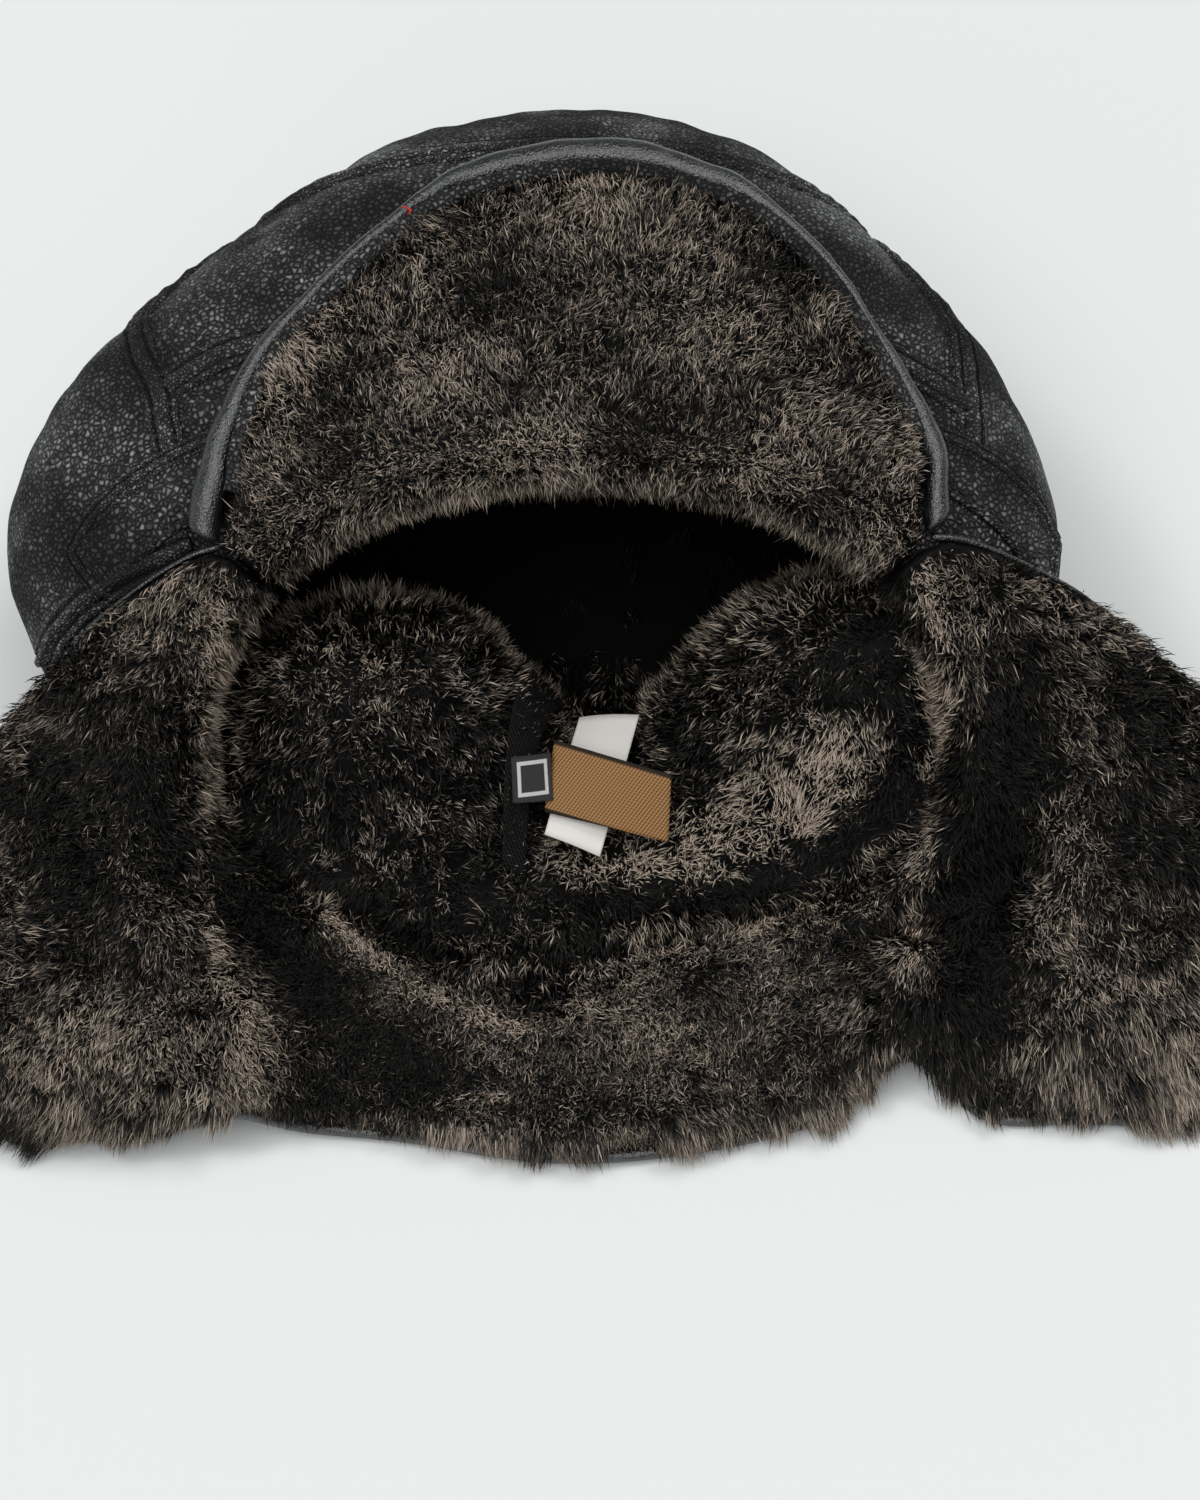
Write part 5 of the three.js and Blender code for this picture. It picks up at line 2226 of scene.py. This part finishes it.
@dataclass(frozen=True)
class Label:
    """A sewn-in label: its node, corners, height over the wool, thickness, curl and flat size.

    The corners, lift, thickness and curl are in millimetres and the flat size is in metres; the
    flat size is not used.
    """

    node: str
    corners: tuple[Triple, ...]
    lift: float
    thick: float
    curl: float
    finish: Finish
    slot: Slot
    flat: Pair
    cells: Cells = (30, 18)

    def build(self) -> None:
        """Makes the label as a thin closed cloth that lies on the wool."""
        a, b, c, d = (np.array(p, float) for p in self.corners)
        nu, nv = self.cells
        u, v = cross_grid(np.linspace(0, 1, nu + 1), np.linspace(0, 1, nv + 1))
        u, v = u[..., None], v[..., None]
        up = unit(np.cross(b - a, a - d))
        up = up if up[2] > 0 else -up
        bend = np.sin(u * math.pi) * self.curl + np.sin(v * math.pi + u * 2) * self.curl * 0.35
        centre = mix(mix(a, b, u), mix(d, c, u), v) + up * (self.lift + bend)
        net = slab(centre + up * self.thick / 2, centre - up * self.thick / 2)
        obj = net.make(self.node + "_cloth")
        start, long_way, short_way = PLACE.row(a), (b - a) / 1000, (d - a) / 1000
        flatten = np.linalg.pinv(np.stack([long_way, short_way]))
        map_card(obj, lambda points: (points - start) @ flatten)
        dress(obj, self.finish, self.slot, self.node)


@dataclass
class Inside:
    """The tape over the lining's centre seam and the labels."""

    form: HatForm
    tape_phi: Pair = (263.5, 268.5)
    tape_reach: Pair = (0.12, 0.36)
    tape_half: float = 1.25
    tape_lift: Pair = (0.9, 0.2)
    tape_curl: float = 0.25
    tape_map: Pair = (100.0, 20.0)
    cards: tuple[Label, ...] = (
        Label(
            "woven_label",
            (
                (-6.74, 100.15, 34.3),
                (24.47, 89.38, 34.3),
                (23.46, 75.62, 22.3),
                (-9.4, 83.12, 25.3),
            ),
            lift=0.6,
            thick=0.7,
            curl=1.8,
            finish=BROWN_FINISH,
            slot=Slot.BROWN,
            flat=(0.034, 0.018),
        ),
        Label(
            "size_label",
            ((-18.6, 91.74, 39.8), (-8.3, 95.76, 35.5), (-7.52, 85.28, 28), (-18.11, 82.23, 31.8)),
            lift=0.5,
            thick=0.6,
            curl=0.3,
            finish=DARK_FINISH,
            slot=Slot.DARK,
            flat=(0.0115, 0.0112),
        ),
        Label(
            "care_label",
            ((-0.09, 110.44, 28.4), (16.05, 108.48, 32.8), (5.3, 72.92, 18.9), (-9.4, 77.7, 22.4)),
            lift=0.4,
            thick=0.4,
            curl=0.9,
            finish=WHITE_FINISH,
            slot=Slot.WHITE,
            flat=(0.0175, 0.037),
        ),
    )

    def tape(self) -> None:
        """Woven tape over the centre seam of the lining."""
        u, v = cross_grid(np.linspace(-1, 1, 13), np.linspace(0, 1, 60))
        phi = mix(*self.tape_phi, v) + u * self.tape_half
        s = mix(*self.tape_reach, v)
        high, low = self.tape_lift
        top = self.form.crown.at(phi, s, -high + self.tape_curl * u * u)
        obj = slab(top, self.form.crown.at(phi, s, -low)).make("seam_tape")
        map_card(obj, lambda points: points[:, :2] * self.tape_map)
        dress(obj, TAPE_FINISH, Slot.TAPE, "centre_back_tape")

    def labels(self) -> None:
        """The woven label, the size label and the care label."""
        for card in self.cards:
            card.build()


@dataclass(frozen=True)
class Sun:
    """A wide soft light: the point it shines from, its apparent width in degrees, its power."""

    name: str
    place: Triple
    angle: float
    power: float

    def hang(self) -> None:
        """Makes the light and points it at the hat."""
        data = bpy.data.lights.new(self.name, "SUN")
        data.energy = self.power
        data.angle = math.radians(self.angle)
        light = add_object(self.name, data)
        light.location = self.place
        light.rotation_euler = (-Vector(self.place)).to_track_quat("-Z", "Y").to_euler()


@dataclass
class Studio:
    """Camera, floor and soft light; lengths in metres, the lens and sensor in millimetres."""

    target: Triple = (-0.0047, -0.0445, 0.05)
    distance: float = 1.2
    rise: float = 60.0
    lens: float = 109.44
    sensor: float = 36.0
    floor_half: float = 6.0
    sky: tuple[float, ...] = (0.97, 0.99, 1.0, 1.0)
    sky_power: float = 0.2
    suns: tuple[Sun, ...] = (
        Sun("light_front", (-0.15, -0.35, 1.0), 50.0, 1.6),
        Sun("light_right", (0.5, 0.25, 1.0), 22.0, 0.85),
        Sun("light_left", (-0.55, -0.05, 1.0), 12.0, 0.4),
        Sun("light_low", (-0.3, -1.0, 0.2), 24.0, 0.4),
    )

    def camera(self) -> None:
        """A portrait camera at the photo's angle."""
        data = bpy.data.cameras.new("camera")
        data.sensor_fit = "VERTICAL"
        data.sensor_height = self.sensor
        data.lens = self.lens
        data.clip_start = 0.02
        data.clip_end = 20.0
        camera = add_object("camera", data)
        target = Vector(self.target)
        angle = math.radians(self.rise)
        camera.location = target + Vector((0, -math.cos(angle), math.sin(angle))) * self.distance
        camera.rotation_euler = (target - camera.location).to_track_quat("-Z", "Y").to_euler()
        bpy.context.scene.camera = camera

    def floor(self) -> None:
        """A wide pale floor under the hat."""
        size = self.floor_half * 1000.0
        corners = np.array([[-size, -size, 0], [size, -size, 0], [size, size, 0], [-size, size, 0]])
        floor = Net(corners, np.array([[0, 1, 2, 3]])).make("floor")
        floor.data.materials.append(FLOOR_FINISH.material())

    def light(self) -> None:
        """Even sky light, and soft lights from the front, both sides and low in front."""
        scene = bpy.context.scene
        scene.view_settings.view_transform = "Standard"
        world = bpy.data.worlds.new("soft_sky")
        world.use_nodes = True
        sky = world.node_tree.nodes["Background"].inputs
        sky["Color"].default_value = self.sky
        sky["Strength"].default_value = self.sky_power
        scene.world = world
        for sun in self.suns:
            sun.hang()


def main() -> None:
    """Builds the hat, its floor, its light and its camera."""
    logging.basicConfig(level=logging.INFO, format="%(message)s")
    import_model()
    studio = Studio()
    studio.camera()
    studio.floor()
    studio.light()
    form = HatForm()
    crown = Crown(form)
    crown.shell()
    rows = crown.seam_strips() + crown.band()
    flaps = Flaps(form)
    flaps.leather("front_flap", form.front, (100, 24))
    flaps.leather("ear_neck_flap", form.ear, (190, 26))
    flaps.front_piping()
    flaps.ear_neck_roll()
    rows += flaps.front_trim()
    flaps.red_thread()
    wool = Wool(form)
    wool.front_flap()
    wool.ear_neck_flap()
    wool.lining()
    Stitches().sew("crown_stitches", rows, Slot.CROWN)
    inside = Inside(form)
    inside.tape()
    inside.labels()


if __name__ == "__main__":
    main()
